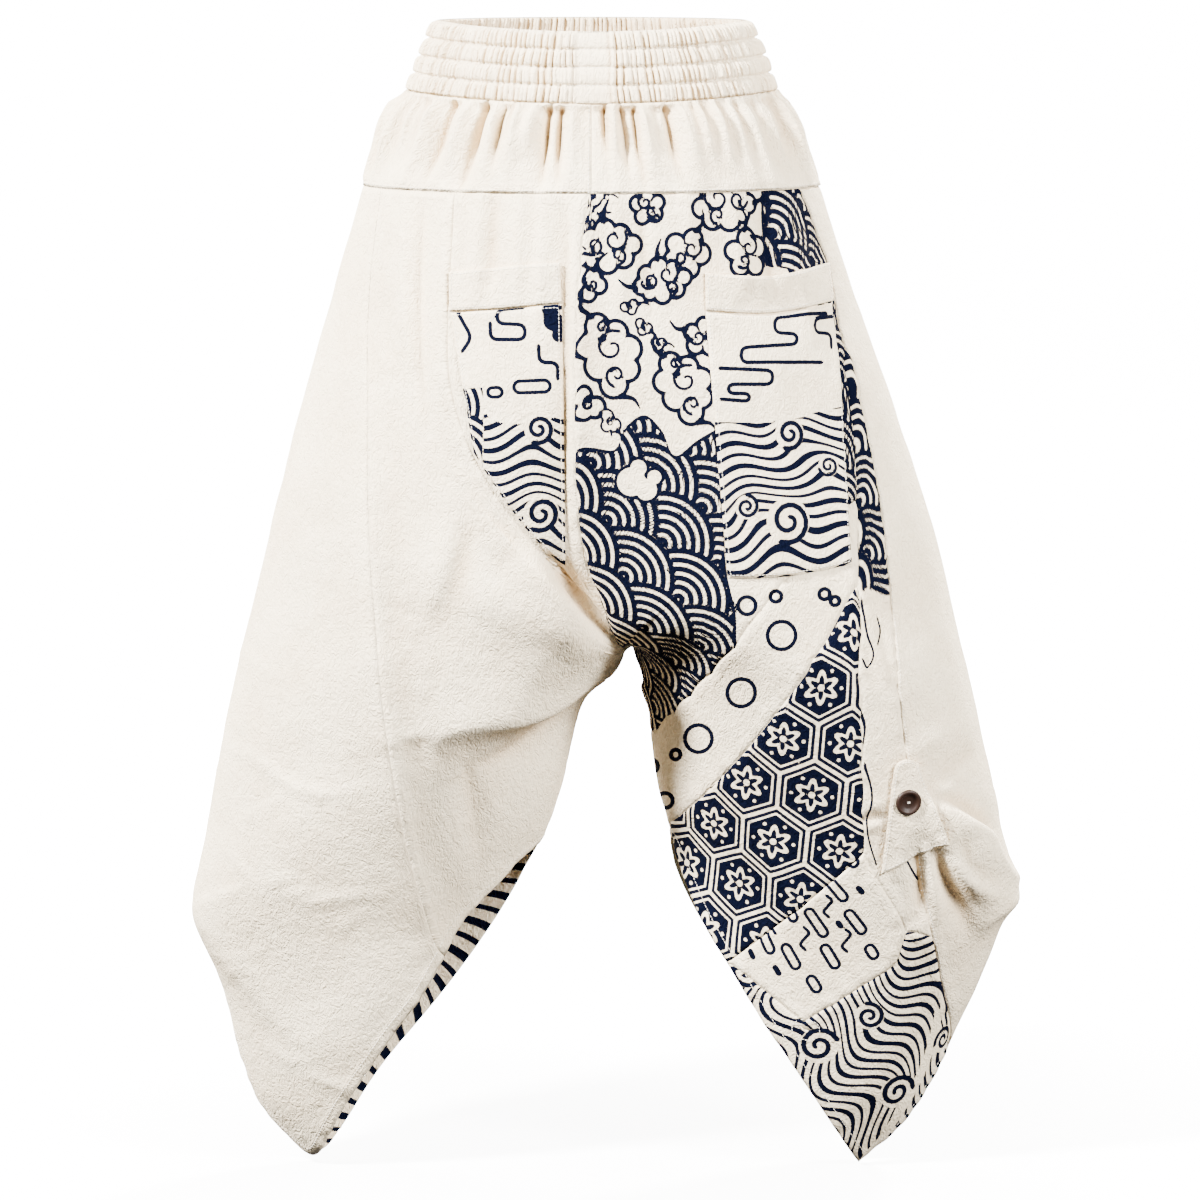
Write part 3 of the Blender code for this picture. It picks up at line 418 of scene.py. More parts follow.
foldsBack = [
    (5.1, 8, 8, [(-150, 112), (-156, 190), (-160, 280)]),
    (-4.2, 7.2, 7.2, [(-128, 112), (-132, 180), (-138, 250)]),
    (5.1, 7.2, 7.2, [(-104, 112), (-106, 170), (-104, 230)]),
    (4.4, 7.2, 7.2, [(-70, 112), (-72, 160), (-78, 220)]),
    (-4.4, 6.4, 6.4, [(-46, 112), (-46, 190), (-50, 260)]),
    (5.1, 7.2, 7.2, [(-22, 112), (-22, 200), (-18, 300)]),
    (4.4, 7.2, 7.2, [(24, 112), (24, 180), (30, 250)]),
    (-4.1, 7.2, 7.2, [(52, 112), (54, 180), (58, 240)]),
    (5.1, 8, 8, [(82, 112), (86, 170), (90, 230)]),
    (4.4, 8, 8, [(120, 112), (126, 180), (128, 260)]),
    (-4.4, 7.2, 7.2, [(146, 112), (152, 170), (158, 230)]),
    (5.1, 8, 8, [(166, 112), (176, 180), (186, 260)]),
    (8.8, 19, 8, [(8, 500), (-40, 470), (-90, 440), (-140, 420)]),
    (-7, 7.2, 10.8, [(0, 520), (-50, 494), (-96, 470)]),
    (7.9, 21, 8.8, [(16, 520), (-36, 536), (-90, 560), (-140, 600)]),
    (-7.2, 8, 12, [(0, 544), (-40, 566), (-84, 604)]),
    (8.4, 19, 8, [(40, 510), (86, 486), (140, 470), (186, 462)]),
    (-6.4, 7.2, 10.8, [(52, 526), (96, 510), (140, 500)]),
    (7.5, 21, 8.8, [(44, 540), (86, 560), (130, 600), (160, 650)]),
    (-6, 8, 12, [(56, 560), (90, 590), (120, 640)]),
    (5.7, 23, 9.6, [(-60, 640), (-110, 690), (-150, 760)]),
    (5.7, 23, 9.6, [(-200, 560), (-226, 640), (-240, 720)]),
    (-4.4, 8.8, 13.2, [(-228, 600), (-256, 680), (-268, 760)]),
    (5.3, 15, 6.4, [(-314, 620), (-280, 640), (-240, 646)]),
    (5.7, 15, 6.4, [(-300, 706), (-262, 714), (-222, 706)]),
    (-4, 6.4, 9.6, [(-288, 730), (-250, 736), (-214, 728)]),
    (4.8, 19, 8, [(-250, 790), (-222, 830), (-212, 880)]),
    (6.2, 23, 9.6, [(120, 690), (160, 750), (196, 830)]),
    (-4.8, 8.8, 13.2, [(146, 680), (186, 740), (220, 810)]),
    (5.7, 23, 9.6, [(210, 620), (240, 700), (256, 790)]),
    (5.3, 17, 7.2, [(330, 640), (300, 660), (262, 664)]),
    (-4.4, 6.4, 9.6, [(336, 668), (302, 684), (268, 690)]),
    (5.7, 17, 7.2, [(344, 700), (310, 716), (276, 716)]),
    (4.8, 27, 11.2, [(240, 360), (256, 440), (270, 520)]),
    (-4, 11.2, 16.8, [(-216, 340), (-232, 420), (-244, 500)]),
]
backSoftness = 2.5
foldPitch = 6
foldLines = {
    "front": [(*sizes, smoothLine(path, foldPitch)) for *sizes, path in foldsFront],
    "back": [(*sizes, backSoftness, smoothLine(path, foldPitch)) for *sizes, path in foldsBack],
}

# front folds fade out over this reach behind the side line, and back ones before it
turnReach = (-30 * mm, -4 * mm)
# the cloth lies flat under the button
buttonSpot = np.mean([vertex.co for vertex in nodes["button"].data.vertices], axis=0)
buttonClear = (9 * mm, 26 * mm)


def foldHeight(points):
    total = np.zeros(len(points))
    for side, turn, places in (("front", -1, asSeen(points)), ("back", 1, asBehind(points))):
        facing = smoothStep(*turnReach, points[:, 1] * turn)
        for height, left, right, softness, line in foldLines[side]:
            reach = 4 * max(left, right)
            low, high = line.min(0) - reach, line.max(0) + reach
            near = np.flatnonzero((facing > 0) & np.all((places > low) & (places < high), axis=1))
            away, place = lineDistance(places[near], line)
            k = np.minimum((place * (len(line) - 1)).astype(int), len(line) - 2)
            along = line[k + 1] - line[k]
            offset = places[near] - line[k]
            # drop grows downward, so the left side of the path has a negative cross product
            width = np.where(along[:, 0] * offset[:, 1] < along[:, 1] * offset[:, 0], left, right)
            fall = (np.sqrt(away ** 2 + softness ** 2) - softness) / width * (1 + (away / width) ** 2 / 6)
            fade = np.sin(np.pi * (0.05 + 0.9 * place)) ** 0.7
            total[near] += facing[near] * height * mm * fade * np.exp(-fall)
    return total * smoothStep(*buttonClear, np.linalg.norm(points - buttonSpot, axis=1))


def evened(faces, values, rounds):
    count = np.bincount(faces.ravel(), minlength=len(values))
    for _ in range(rounds):
        values = np.bincount(faces.ravel(), np.repeat(values[faces].mean(1), 4), len(values)) / count
    return values


def shadeBelowCloth(faces, lift, rounds):
    # how far a point lies below the cloth around it, 1 at 3 mm; used as painted shade that darkens the colour
    # in creases
    return np.clip((evened(faces, lift, rounds) - lift) / (3 * mm), 0, 1)


def softRipples(points):
    # broad unevenness of hanging cloth, a fraction of a millimetre to one millimetre
    ripples = ((0.9, 22.0), (0.35, 60.0))
    return np.array([sum(height * noise.noise(Vector(p) * scale) for height, scale in ripples)
                     for p in points]) * mm


# the two legs as one surface, so that pieces meet at their seams

legs = {
    "pieces": ["right_front_inset", "right_leg_front", "right_side_panel", "right_leg_back",
               "left_front_top", "left_bubble_band", "left_dark_band", "left_mist_patch",
               "left_hem_waves", "left_side_strip", "left_side_panel", "left_leg_back"],
    "finePieces": ["left_front_top", "left_bubble_band", "left_dark_band", "left_mist_patch",
                   "left_side_strip", "left_hem_waves"],
    "softSeamPieces": ["right_leg_front", "right_side_panel"],
    # height of the fork, x of the gap between the legs and of the middles of the right and the left one
    "fork": -0.45,
    "between": 0.036,
    "middles": (-0.19, 0.2),
    "solidWall": 1.6 * mm,
    # pieces that reach a hem or an open edge have this thickness, but for one
    "clothThickness": 1.2 * mm,
    "singleLayer": "left_hem_waves",
    "puckerHeight": 1.3 * mm,
    "puckerReach": 9 * mm,
    "puckersPerMetre": 90,
    "seamDepth": 0.8 * mm,
    "seamWidth": 2.2 * mm,
    # edges below the first height are hems, and pieces that reach below the second one have one
    "hemTop": -0.6,
    "hemReach": -0.69,
}


def legCentre(point):
    right, left = legs["middles"]
    if point.z > legs["fork"]:
        return Vector((0, 0, point.z))
    return Vector((right if point.x < legs["between"] else left, 0, point.z))


def outerSheet(name, wall, isOuter):
    # the rim of a solid is a row of faces as narrow as its wall; it and the inner side are left out
    form = bmesh.new()
    form.from_mesh(nodes[name].data)
    bmesh.ops.remove_doubles(form, verts=form.verts, dist=0.01 * mm)
    form.normal_update()
    narrow = {face for face in form.faces if min(edge.calc_length() for edge in face.edges) < wall + 0.5 * mm}
    seen = set()
    keep = set()
    for first in form.faces:
        if first in seen or first in narrow:
            continue
        seen.add(first)
        group = [first]
        for face in group:
            for edge in face.edges:
                flat = edge.is_manifold and edge.calc_face_angle() < math.radians(40)
                for other in edge.link_faces:
                    if other not in seen and (flat or (face not in narrow and other not in narrow)):
                        seen.add(other)
                        group.append(other)
        if sum(face.calc_area() * isOuter(face) for face in group) > 0:
            keep.update(group)
    bmesh.ops.delete(form, geom=[face for face in form.faces if face not in keep], context="FACES")
    bmesh.ops.join_triangles(form, faces=form.faces, angle_face_threshold=math.radians(60),
                             angle_shape_threshold=math.radians(180))
    return form


def facesOut(face):
    middle = face.calc_center_median()
    return face.normal.dot(middle - legCentre(middle))


def unwrap(thing):
    bpy.context.view_layer.objects.active = thing
    thing.select_set(True)
    bpy.ops.object.mode_set(mode="EDIT")
    bpy.ops.mesh.select_all(action="SELECT")
    bpy.ops.uv.unwrap(method="MINIMUM_STRETCH", margin=0.001)
    bpy.ops.object.mode_set(mode="OBJECT")
    thing.select_set(False)


def joinedLegs():
    joined = bmesh.new()
    layer = joined.faces.layers.int.new("piece")
    for number, name in enumerate(legs["pieces"]):
        sheet = outerSheet(name, legs["solidWall"], facesOut)
        made = {vertex: joined.verts.new(vertex.co) for vertex in sheet.verts}
        for face in sheet.faces:
            joined.faces.new([made[vertex] for vertex in face.verts])[layer] = number
        sheet.free()
    rim = [vertex for vertex in joined.verts if vertex.is_boundary]
    bmesh.ops.remove_doubles(joined, verts=rim, dist=0.9 * mm)
    for edge in joined.edges:
        edge.seam = len({face[layer] for face in edge.link_faces}) > 1
    mesh = bpy.data.meshes.new("joined legs")
    joined.to_mesh(mesh)
    joined.free()
    thing = linked("joined legs", mesh)
    unwrap(thing)
    return thing


def refined(thing, level):
    finer = thing.modifiers.new("finer", "SUBSURF")
    finer.levels = level
    finer.boundary_smooth = "PRESERVE_CORNERS"
    finer.uv_smooth = "PRESERVE_BOUNDARIES"
    graph = bpy.context.evaluated_depsgraph_get()
    mesh = bpy.data.meshes.new_from_object(thing.evaluated_get(graph))
    thing.modifiers.remove(finer)
    count = len(mesh.vertices)
    grid = {"points": np.zeros(count * 3), "normals": np.zeros(count * 3),
            "faces": np.zeros(len(mesh.loops), np.int32), "uvs": np.zeros(len(mesh.loops) * 2)}
    mesh.vertices.foreach_get("co", grid["points"])
    mesh.vertex_normals.foreach_get("vector", grid["normals"])
    mesh.loops.foreach_get("vertex_index", grid["faces"])
    mesh.uv_layers[0].data.foreach_get("uv", grid["uvs"])
    for key, width in (("points", 3), ("normals", 3), ("faces", 4), ("uvs", 2)):
        grid[key] = grid[key].reshape(-1, width)
    if "piece" in mesh.attributes:
        grid["piece"] = np.zeros(len(mesh.polygons), np.int32)
        mesh.attributes["piece"].data.foreach_get("value", grid["piece"])
    bpy.data.meshes.remove(mesh)
    return grid


def cutOut(grid, chosen):
    faces = grid["faces"][chosen]
    used, flat = np.unique(faces, return_inverse=True)
    return {"points": grid["points"][used], "normals": grid["normals"][used], "faces": flat.reshape(-1, 4),
            "uvs": grid["uvs"].reshape(-1, 4, 2)[chosen].reshape(-1, 2), "used": used}


def rimEdges(faces):
    sides = np.sort(np.stack([faces, np.roll(faces, -1, axis=1)], axis=2).reshape(-1, 2), axis=1)
    keys, counts = np.unique(sides, axis=0, return_counts=True)
    return keys[counts == 1]


def pointsOnEdges(points, edges, parts=3):
    a, b = points[edges[:, 0]], points[edges[:, 1]]
    return np.concatenate([a + (b - a) * k / parts for k in range(parts)])


def nearestOn(points, targets):
    tree = KDTree(len(targets))
    for k, target in enumerate(targets):
        tree.insert(target, k)
    tree.balance()
    found = [tree.find(point) for point in points]
    return np.array([f[2] for f in found]), np.array([f[0] for f in found])


def faceArea(points, faces):
    a, b, c, d = (points[faces[:, k]] for k in range(4))
    return np.linalg.norm(np.cross(c - a, d - b), axis=-1) / 2


def layFlat(piece):
    # the cut piece in metres, turned so that its grain runs down the garment
    faces, corners = piece["faces"], piece["uvs"]
    a, b, c, d = (corners.reshape(-1, 4, 2)[:, k] for k in range(4))
    flatArea = np.abs(np.cross(c - a, d - b)).sum() / 2
    corners = corners * math.sqrt(faceArea(piece["points"], faces).sum() / flatArea)
    spot = piece["points"][faces.ravel()]
    across = spot[:, 0] * (1 if spot[:, 1].mean() < 0 else -1)
    target = np.stack([across, spot[:, 2]], axis=1)
    u, _, v = np.linalg.svd((corners - corners.mean(0)).T @ (target - target.mean(0)))
    piece["uvs"] = (corners - corners.mean(0)) @ (u @ v) + target.mean(0)
    flatPoint = np.zeros((len(piece["points"]), 2))
    flatPoint[faces.ravel()] = piece["uvs"]
    piece["flat"] = flatPoint
    piece["turn"] = 1 if spot[:, 1].mean() < 0 else -1


def puckers(nearest, away):
    wave = np.array([noise.noise(Vector(p) * legs["puckersPerMetre"]) for p in nearest])
    return legs["puckerHeight"] * wave * np.exp(-(away / legs["puckerReach"]) ** 2)


def placeOf(piece, x, drop):
    # where a point given by x and drop in mm, as seen in front or as it lies behind, is on the flat piece
    if "tree" not in piece:
        places = asSeen(piece["points"]) if piece["turn"] == 1 else asBehind(piece["points"])
        piece["tree"] = KDTree(len(places))
        for k, place in enumerate(places):
            piece["tree"].insert((*place, 0), k)
        piece["tree"].balance()
    spot, k, _ = piece["tree"].find((x, drop, 0))
    return piece["flat"][k] / mm + ((x - spot[0]) * piece["turn"], spot[1] - drop)


# prints: each point of the cloth knows how far it is from the ink, and on which side of the line it lies;
# in waved cloth it knows the number of its line

def curl(x, y, radius, turns, start, spin=1):
    t = np.linspace(0, 1, int(14 * turns) + 4)
    angle = math.radians(start) + spin * 2 * math.pi * turns * t
    r = radius * (1 - 0.82 * t)
    return np.stack([x + r * np.cos(angle), y + r * np.sin(angle)], axis=1)


def moved(line, x, y, size, angle, mirror=1):
    line = np.asarray(line, float) * (mirror * size, size)
    c, s = math.cos(math.radians(angle)), math.sin(math.radians(angle))
    return np.stack([x + line[:, 0] * c - line[:, 1] * s, y + line[:, 0] * s + line[:, 1] * c], axis=1)


# distances in mm that stand for no ink near, and for no line
noInk = 8.0
noLine = 9.0


def newField(piece):
    count = len(piece["flat"])
    return {"flat": piece["flat"] / mm, "ink": np.full(count, noInk), "side": np.full(count, noLine),
            "wave": np.zeros(count), "waved": np.full(count, -noLine)}


def nearLine(field, line, reach):
    flat = field["flat"]
    low, high = line.min(0) - reach, line.max(0) + reach
    return np.flatnonzero(np.all((flat > low) & (flat < high), axis=1))


def lay(field, near, away, side):
    nearer = away < field["ink"][near]
    field["ink"][near[nearer]] = away[nearer]
    field["side"][near[nearer]] = side[nearer]


def blank(field, inside):
    field["ink"][inside] = noInk
    field["side"][inside] = noLine


def stroke(field, line, width, taper=0.0):
    near = nearLine(field, line, width + 4)
    spots = field["flat"][near]
    away, place = lineDistance(spots, line)
    k = np.minimum((place * (len(line) - 1)).astype(int), len(line) - 2)
    along = line[k + 1] - line[k]
    offset = spots - line[k]
    turn = np.sign(along[:, 0] * offset[:, 1] - along[:, 1] * offset[:, 0])
    half = width / 2 * (1 - taper * place)
    lay(field, near, away - half, turn * away / half)


def shapeEdge(field, near, away, width):
    lay(field, near, np.abs(away) - width / 2, away / (width / 2))


def shapeFill(field, near, away, sign=1):
    lay(field, near, away, sign * np.maximum(0, 1 + away / 1.3))


def fromCircles(spots, circles):
    return np.min([np.hypot(spots[:, 0] - x, spots[:, 1] - y) - r for x, y, r in circles], axis=0)


def lobes(field, circles, width):
    circles = np.array(circles, float)
    near = nearLine(field, circles[:, :2], circles[:, 2].max() + width + 4)
    away = fromCircles(field["flat"][near], circles)
    blank(field, near[away < 0])
    shapeEdge(field, near, away, width)


cloudKinds = {
    "double": {
        "lobes": [(-0.42, 0.0, 0.15), (-0.28, 0.2, 0.16), (-0.04, 0.3, 0.17), (0.2, 0.2, 0.16),
                  (0.38, 0.02, 0.15), (0.2, -0.16, 0.17), (-0.06, -0.22, 0.16), (-0.28, -0.14, 0.14),
                  (0.0, 0.03, 0.26)],
        "curls": [(-0.24, 0.08, 0.15, 200, 1), (0.1, 0.14, 0.18, 30, -1), (0.12, -0.12, 0.12, 280, 1)],
        "tails": [[(-0.04, 0.44), (-0.02, 0.6), (0.08, 0.78)], [(-0.54, 0.0), (-0.7, 0.06), (-0.82, 0.2)]],
    },
    "round": {
        "lobes": [(-0.24, 0.05, 0.19), (-0.04, 0.26, 0.18), (0.24, 0.12, 0.17), (0.2, -0.16, 0.18),
                  (-0.1, -0.24, 0.18), (0.0, 0.0, 0.2)],
        "curls": [(-0.06, 0.1, 0.17, 120, 1), (0.12, -0.1, 0.13, 330, -1)],
        "tails": [[(-0.06, 0.42), (-0.16, 0.6), (-0.1, 0.8)]],
    },
    "tall": {
        "lobes": [(-0.12, 0.36, 0.15), (-0.24, 0.14, 0.16), (-0.14, -0.1, 0.18), (0.02, -0.34, 0.17),
                  (0.2, -0.18, 0.15), (0.24, 0.06, 0.16), (0.1, 0.26, 0.15), (0.0, 0.0, 0.2)],
        "curls": [(0.04, 0.1, 0.18, 60, 1), (-0.06, 0.34, 0.07, 0, 1), (0.06, -0.24, 0.12, 250, -1)],
        "tails": [[(-0.18, 0.48), (-0.3, 0.6), (-0.26, 0.78)], [(0.1, -0.5), (0.26, -0.56), (0.3, -0.66)]],
    },
    "small": {
        "lobes": [(-0.2, 0.12, 0.2), (0.16, -0.02, 0.22), (-0.04, -0.16, 0.2)],
        "curls": [(0.0, 0.0, 0.16, 60, 1)],
        "tails": [[(0.34, -0.1), (0.56, -0.22), (0.72, -0.46)]],
    },
}


# lines in mm of clouds above and below this size, and what their curls and tails are of them
cloudLook = {
    "big": 28,
    "bigLine": 3.5,
    "smallLine": 2.1,
    "growth": 1.12,
    "curlGrowth": 1.15,
    "curlTurns": 1.1,
    "curlLine": 0.85,
    "tailLine": 1.5,
}


def cloud(field, piece, kind, x, drop, size, angle, mirror=1):
    shape, look = cloudKinds[kind], cloudLook
    width = look["bigLine" if size > look["big"] else "smallLine"]
    size *= look["growth"]
    place = (*placeOf(piece, x, drop), size, angle, mirror)
    circles = np.array(shape["lobes"])
    lobes(field, np.column_stack([moved(circles[:, :2], *place), circles[:, 2] * size]), width)
    for cx, cy, radius, start, spin in shape["curls"]:
        line = curl(cx, cy, look["curlGrowth"] * radius, look["curlTurns"], start, spin)
        stroke(field, moved(line, *place), width * look["curlLine"], 0.3)
    for tail in shape["tails"]:
        stroke(field, moved(smoothLine(tail, 0.06), *place), width * look["tailLine"], 0.7)


# overlapping wave scales: turn in degrees, radius, distance of the rings and width of their lines in mm
fans = {"angle": -48, "radius": 44, "pitch": 7.6, "line": 4.8}


def scales(field, origin, chosen, angle, radius, pitch, line):
    # every scale is a stack of rings, and the row below covers the row above
    near = np.flatnonzero(chosen)
    flat = moved(field["flat"][near] - origin, 0, 0, 1, -angle)
    rowHeight = radius / 2
    ink = np.full(len(flat), 6.0)
    side = np.full(len(flat), 9.0)
    done = np.zeros(len(flat), bool)
    firstRow = np.floor(flat[:, 1] / rowHeight) - 2
    for k in range(5):
        row = firstRow + k
        shift = (row % 2) * radius
        column = np.round((flat[:, 0] - shift) / (2 * radius))
        away = np.hypot(flat[:, 0] - shift - column * 2 * radius, flat[:, 1] - row * rowHeight)
        inside = (away <= radius) & ~done
        ring = (radius - away - line / 2 + pitch / 2) % pitch - pitch / 2
        ink[inside] = (np.abs(ring) - line / 2)[inside]
        side[inside] = (ring / (line / 2))[inside]
        done |= inside
    field["ink"][near] = ink
    field["side"][near] = side


def rounded(points, radius):
    points = np.array(points, float)
    line = [points[0]]
    share = np.linspace(0, 1, 8)[:, None]
    for before, corner, after in zip(points, points[1:], points[2:]):
        ends = []
        for other in (before, after):
            length = np.linalg.norm(other - corner)
            ends.append(corner + (other - corner) / length * min(radius, length / 2))
        line.extend((1 - share) ** 2 * ends[0] + 2 * share * (1 - share) * corner + share ** 2 * ends[1])
    return np.array(line + [points[-1]])


def pathOn(piece, points, pitch=2.5):
    return smoothLine([placeOf(piece, x, drop) for x, drop in points], pitch)


def levelOf(piece, points, across):
    line = pathOn(piece, points, 4)
    return np.interp(across, line[:, 0], line[:, 1])


def frontTopPrint(piece):
    field = newField(piece)
    for kind, x, drop, size, angle, mirror in [
            ("small", 1, 116, 22, 30, 1), ("small", -1, 138, 18, 60, 1), ("double", 15, 163, 46, 12, 1),
            ("small", 0, 194, 30, 100, 1), ("round", 48, 126, 31, 0, 1), ("double", 114, 126, 48, 10, -1),
            ("round", 134, 167, 42, 20, -1), ("round", 82, 167, 42, -10, -1), ("double", 62, 192, 40, 14, 1),
            ("small", 33, 213, 17, 40, 1), ("small", 45, 231, 17, -10, 1), ("small", 58, 245, 14, 20, 1),
            ("tall", 15, 256, 60, 8, 1), ("tall", 80, 284, 54, 14, 1), ("round", 96, 240, 34, 60, 1),
            ("small", -3, 298, 34, -20, 1), ("small", 16, 314, 22, -30, 1)]:
        cloud(field, piece, kind, x, drop, size, angle, mirror)
    flat = field["flat"]
    # wave scales fill the lower part and the strip beside the pocket
    level = levelOf(piece, [(-30, 338), (4, 338), (18, 340), (30, 319), (45, 309), (60, 322), (72, 345),
                            (90, 332), (108, 322), (150, 330), (260, 350)], flat[:, 0])
    side = pathOn(piece, [(147, 100), (150, 150), (154, 180), (190, 186), (198, 240), (206, 330)], 4)
    beside = flat[:, 0] - np.interp(-flat[:, 1], -side[:, 1], side[:, 0])
    inside = np.maximum(level - flat[:, 1], beside)
    bay = fromCircles(flat, [(*placeOf(piece, x, drop), r) for x, drop, r in
                             [(34, 366, 13), (47, 373, 10), (40, 354, 8), (54, 362, 7)]])
    inside = np.minimum(inside, bay)
    # the scales end in a curve below the pocket, beside the plain cloth with rings
    edge = pathOn(piece, [(110, 380), (116, 450), (123, 482), (121, 520), (100, 560)], 4)
    beyond = np.interp(-flat[:, 1], -edge[:, 1], edge[:, 0]) - flat[:, 0]
    lower = flat[:, 1] < placeOf(piece, 120, 428)[1]
    inside = np.where(lower, np.minimum(inside, beyond), inside)
    blank(field, inside > -1)
    scales(field, placeOf(piece, 60, 420), inside > 1.5, **fans)
    near = np.flatnonzero(np.abs(inside) < 8)
    shapeEdge(field, near, inside[near], 2.8)
    drawRings(field, piece)
    return field


# x, drop and radius of the printed rings in mm, as seen
rings = [(134, 474, 7.6), (159, 466, 4.8), (164, 500, 12.2), (201, 464, 4.6), (210, 470, 3.8), (129, 550, 12),
         (92, 590, 11.8), (72, 604, 4.2), (63, 644, 6.5), (51, 614, 6)]


def drawRings(field, piece):
    seen = asSeen(piece["points"])
    for x, drop, radius in rings:
        away = np.hypot(seen[:, 0] - x, seen[:, 1] - drop) - radius
        near = np.flatnonzero(away < 8)
        shapeEdge(field, near, away[near], 3.7)


def bubblePrint(piece):
    field = newField(piece)
    drawRings(field, piece)
    return field


# tortoise-shell hexagons, in mm: pale gap between them, pale inner border, flower, its heart and six dots
hexagons = {
    "angle": 35,
    "side": 33.0,
    "gap": 1.6,
    "border": 5.6,
    "borderLine": 1.9,
    "flower": 10.2,
    "petal": 3.4,
    "flowerLine": 4.6,
    "heart": 3.0,
    "dotRing": 17.5,
    "dot": 1.7,
}


def hexagonPrint(piece):
    field = newField(piece)
    plan = hexagons
    flat = moved(field["flat"] - placeOf(piece, 134, 628), 0, 0, 1, plan["angle"])
    across, rise = 1.5 * plan["side"], plan["side"] * math.sqrt(3)
    best = np.full(len(flat), 9e9)
    nearest = np.zeros((len(flat), 2))
    for shift in (0, 1):
        column = np.round((flat[:, 0] - shift * across) / (2 * across))
        row = np.round((flat[:, 1] - shift * rise / 2) / rise)
        centre = np.stack([column * 2 * across + shift * across, row * rise + shift * rise / 2], axis=1)
        away = np.linalg.norm(flat - centre, axis=1)
        nearer = away < best
        best[nearer] = away[nearer]
        nearest[nearer] = centre[nearer]
    local = flat - nearest
    ways = np.array([(math.cos(a), math.sin(a)) for a in np.radians([30, 90, 150])])
    border = rise / 2 - np.abs(local @ ways.T).max(1)
    petals = plan["flower"] + plan["petal"] * np.cos(6 * np.arctan2(local[:, 1], local[:, 0]))
    away = np.hypot(local[:, 0], local[:, 1])
    near = np.arange(len(flat))
    # here the strokes are the pale parts, and the ground between them is the ink
    shapeFill(field, near, border - plan["gap"])
    shapeEdge(field, near, plan["border"] - border, plan["borderLine"])
    shapeEdge(field, near, away - petals, plan["flowerLine"])
    shapeFill(field, near, away - plan["heart"], -1)
    for a in np.radians(np.arange(30, 390, 60)):
        dot = local - np.array([math.cos(a), math.sin(a)]) * plan["dotRing"]
        shapeFill(field, near, np.hypot(dot[:, 0], dot[:, 1]) - plan["dot"], -1)
    field["ground"] = np.ones(len(flat))
    return field


def capsule(length, half):
    a = np.linspace(-math.pi / 2, math.pi / 2, 8)
    right = np.stack([length / 2 - half + half * np.cos(a), half * np.sin(a)], axis=1)
    return np.concatenate([right, -right, right[:1]])


def mistPrint(piece):
    field = newField(piece)
    for x, drop, length, half, angle in [
            (128, 752, 28, 4, -58), (148, 726, 32, 4, -56), (150, 766, 24, 4, -60), (168, 736, 30, 4, -56),
            (186, 706, 26, 4, -54), (172, 780, 24, 4, -60), (194, 750, 30, 4, -58), (212, 722, 24, 4, -56),
            (206, 780, 24, 4, -60), (228, 750, 26, 4, -56), (222, 692, 22, 4, -56), (192, 804, 16, 4, -60),
            (242, 776, 14, 4, -58), (206, 692, 7, 1.2, -56), (180, 728, 7, 1.2, -56), (160, 792, 8, 1.2, -58),
            (232, 722, 7, 1.2, -56), (214, 752, 6, 1.2, -56), (138, 778, 7, 1.2, -58)]:
        u, v = placeOf(piece, x, drop)
        stroke(field, moved(capsule(length, half), u, v, 1, angle), 3.1)
    for x, drop in [(158, 750), (184, 764), (204, 736), (220, 766)]:
        u, v = placeOf(piece, x, drop)
        link = smoothLine([(-9, 5), (-3, 6), (0, 0), (3, -6), (9, -5)], 1.5)
        stroke(field, moved(link, u, v, 1, -58), 3.1)
    return field


# how far the lines rise over a curl and how far out, in its radii, and the turns of a curl
curlRise = 0.8
curlReach = 1.5
curlTurns = 1.5


def waves(field, piece, chosen, angle, pitch, line, sway, length, curls):
    # flowing lines of two widths that rise over curls; a curl gives x, drop, radius, start and way of turning
    near = np.flatnonzero(chosen)
    whirls = [(*placeOf(piece, x, drop), radius, start, spin) for x, drop, radius, start, spin in curls]

    def level(spots):
        local = moved(spots, 0, 0, 1, -angle)
        rise = local[:, 1] + sway * np.sin(local[:, 0] * 2 * math.pi / length + local[:, 1] / 40)
        for x, y, radius, _, _ in whirls:
            away = np.linalg.norm(spots - (x, y), axis=1)
            rise = rise - curlRise * radius * np.exp(-(away / (curlReach * radius)) ** 2)
        return rise

    # the number of the line that a point lies on, and how far inside the waved cloth it is
    field["wave"] = level(field["flat"]) / pitch
    spots = field["flat"][near]
    field["waved"][near] = np.clip(fromCircles(spots, [whirl[:3] for whirl in whirls]), -noLine, noLine)
    for x, y, radius, start, spin in whirls:
        stroke(field, curl(x, y, radius, curlTurns, start, spin), min(line, 0.34 * radius), 0.2)


def hemWavesPrint(piece):
    field = newField(piece)
    hem = pathOn(piece, [(300, 830), (291, 866), (276, 900), (262, 922), (250, 940), (236, 956)], 4)
    plain = lineDistance(field["flat"], hem)[0] < 5
    waves(field, piece, ~plain, -60, 9.2, 5.2, 12, 92, [
        (136, 790, 14, 200, 1), (196, 858, 17, 20, 1), (240, 832, 13, 90, -1), (264, 898, 16, 0, 1),
        (304, 852, 12, 180, -1)])
    return field


def stripPrint(piece):
    # wave scales above, and below them plain cloth with a few hooked lines
    field = newField(piece)
    flat = field["flat"]
    level = levelOf(piece, [(200, 462), (232, 463), (262, 466), (300, 470)], flat[:, 0])
    scales(field, placeOf(piece, 236, 430), flat[:, 1] > level, **fans)
    for path in [[(232, 470), (238, 500), (243, 520), (238, 528), (234, 521)],
                 [(246, 484), (249, 496), (247, 508)],
                 [(230, 560), (236, 580), (233, 600)],
                 [(262, 660), (270, 690), (284, 716)],
                 [(236, 612), (242, 640), (238, 668), (246, 700)]]:
        stroke(field, pathOn(piece, path, 2), 2.4, 0.2)
    return field


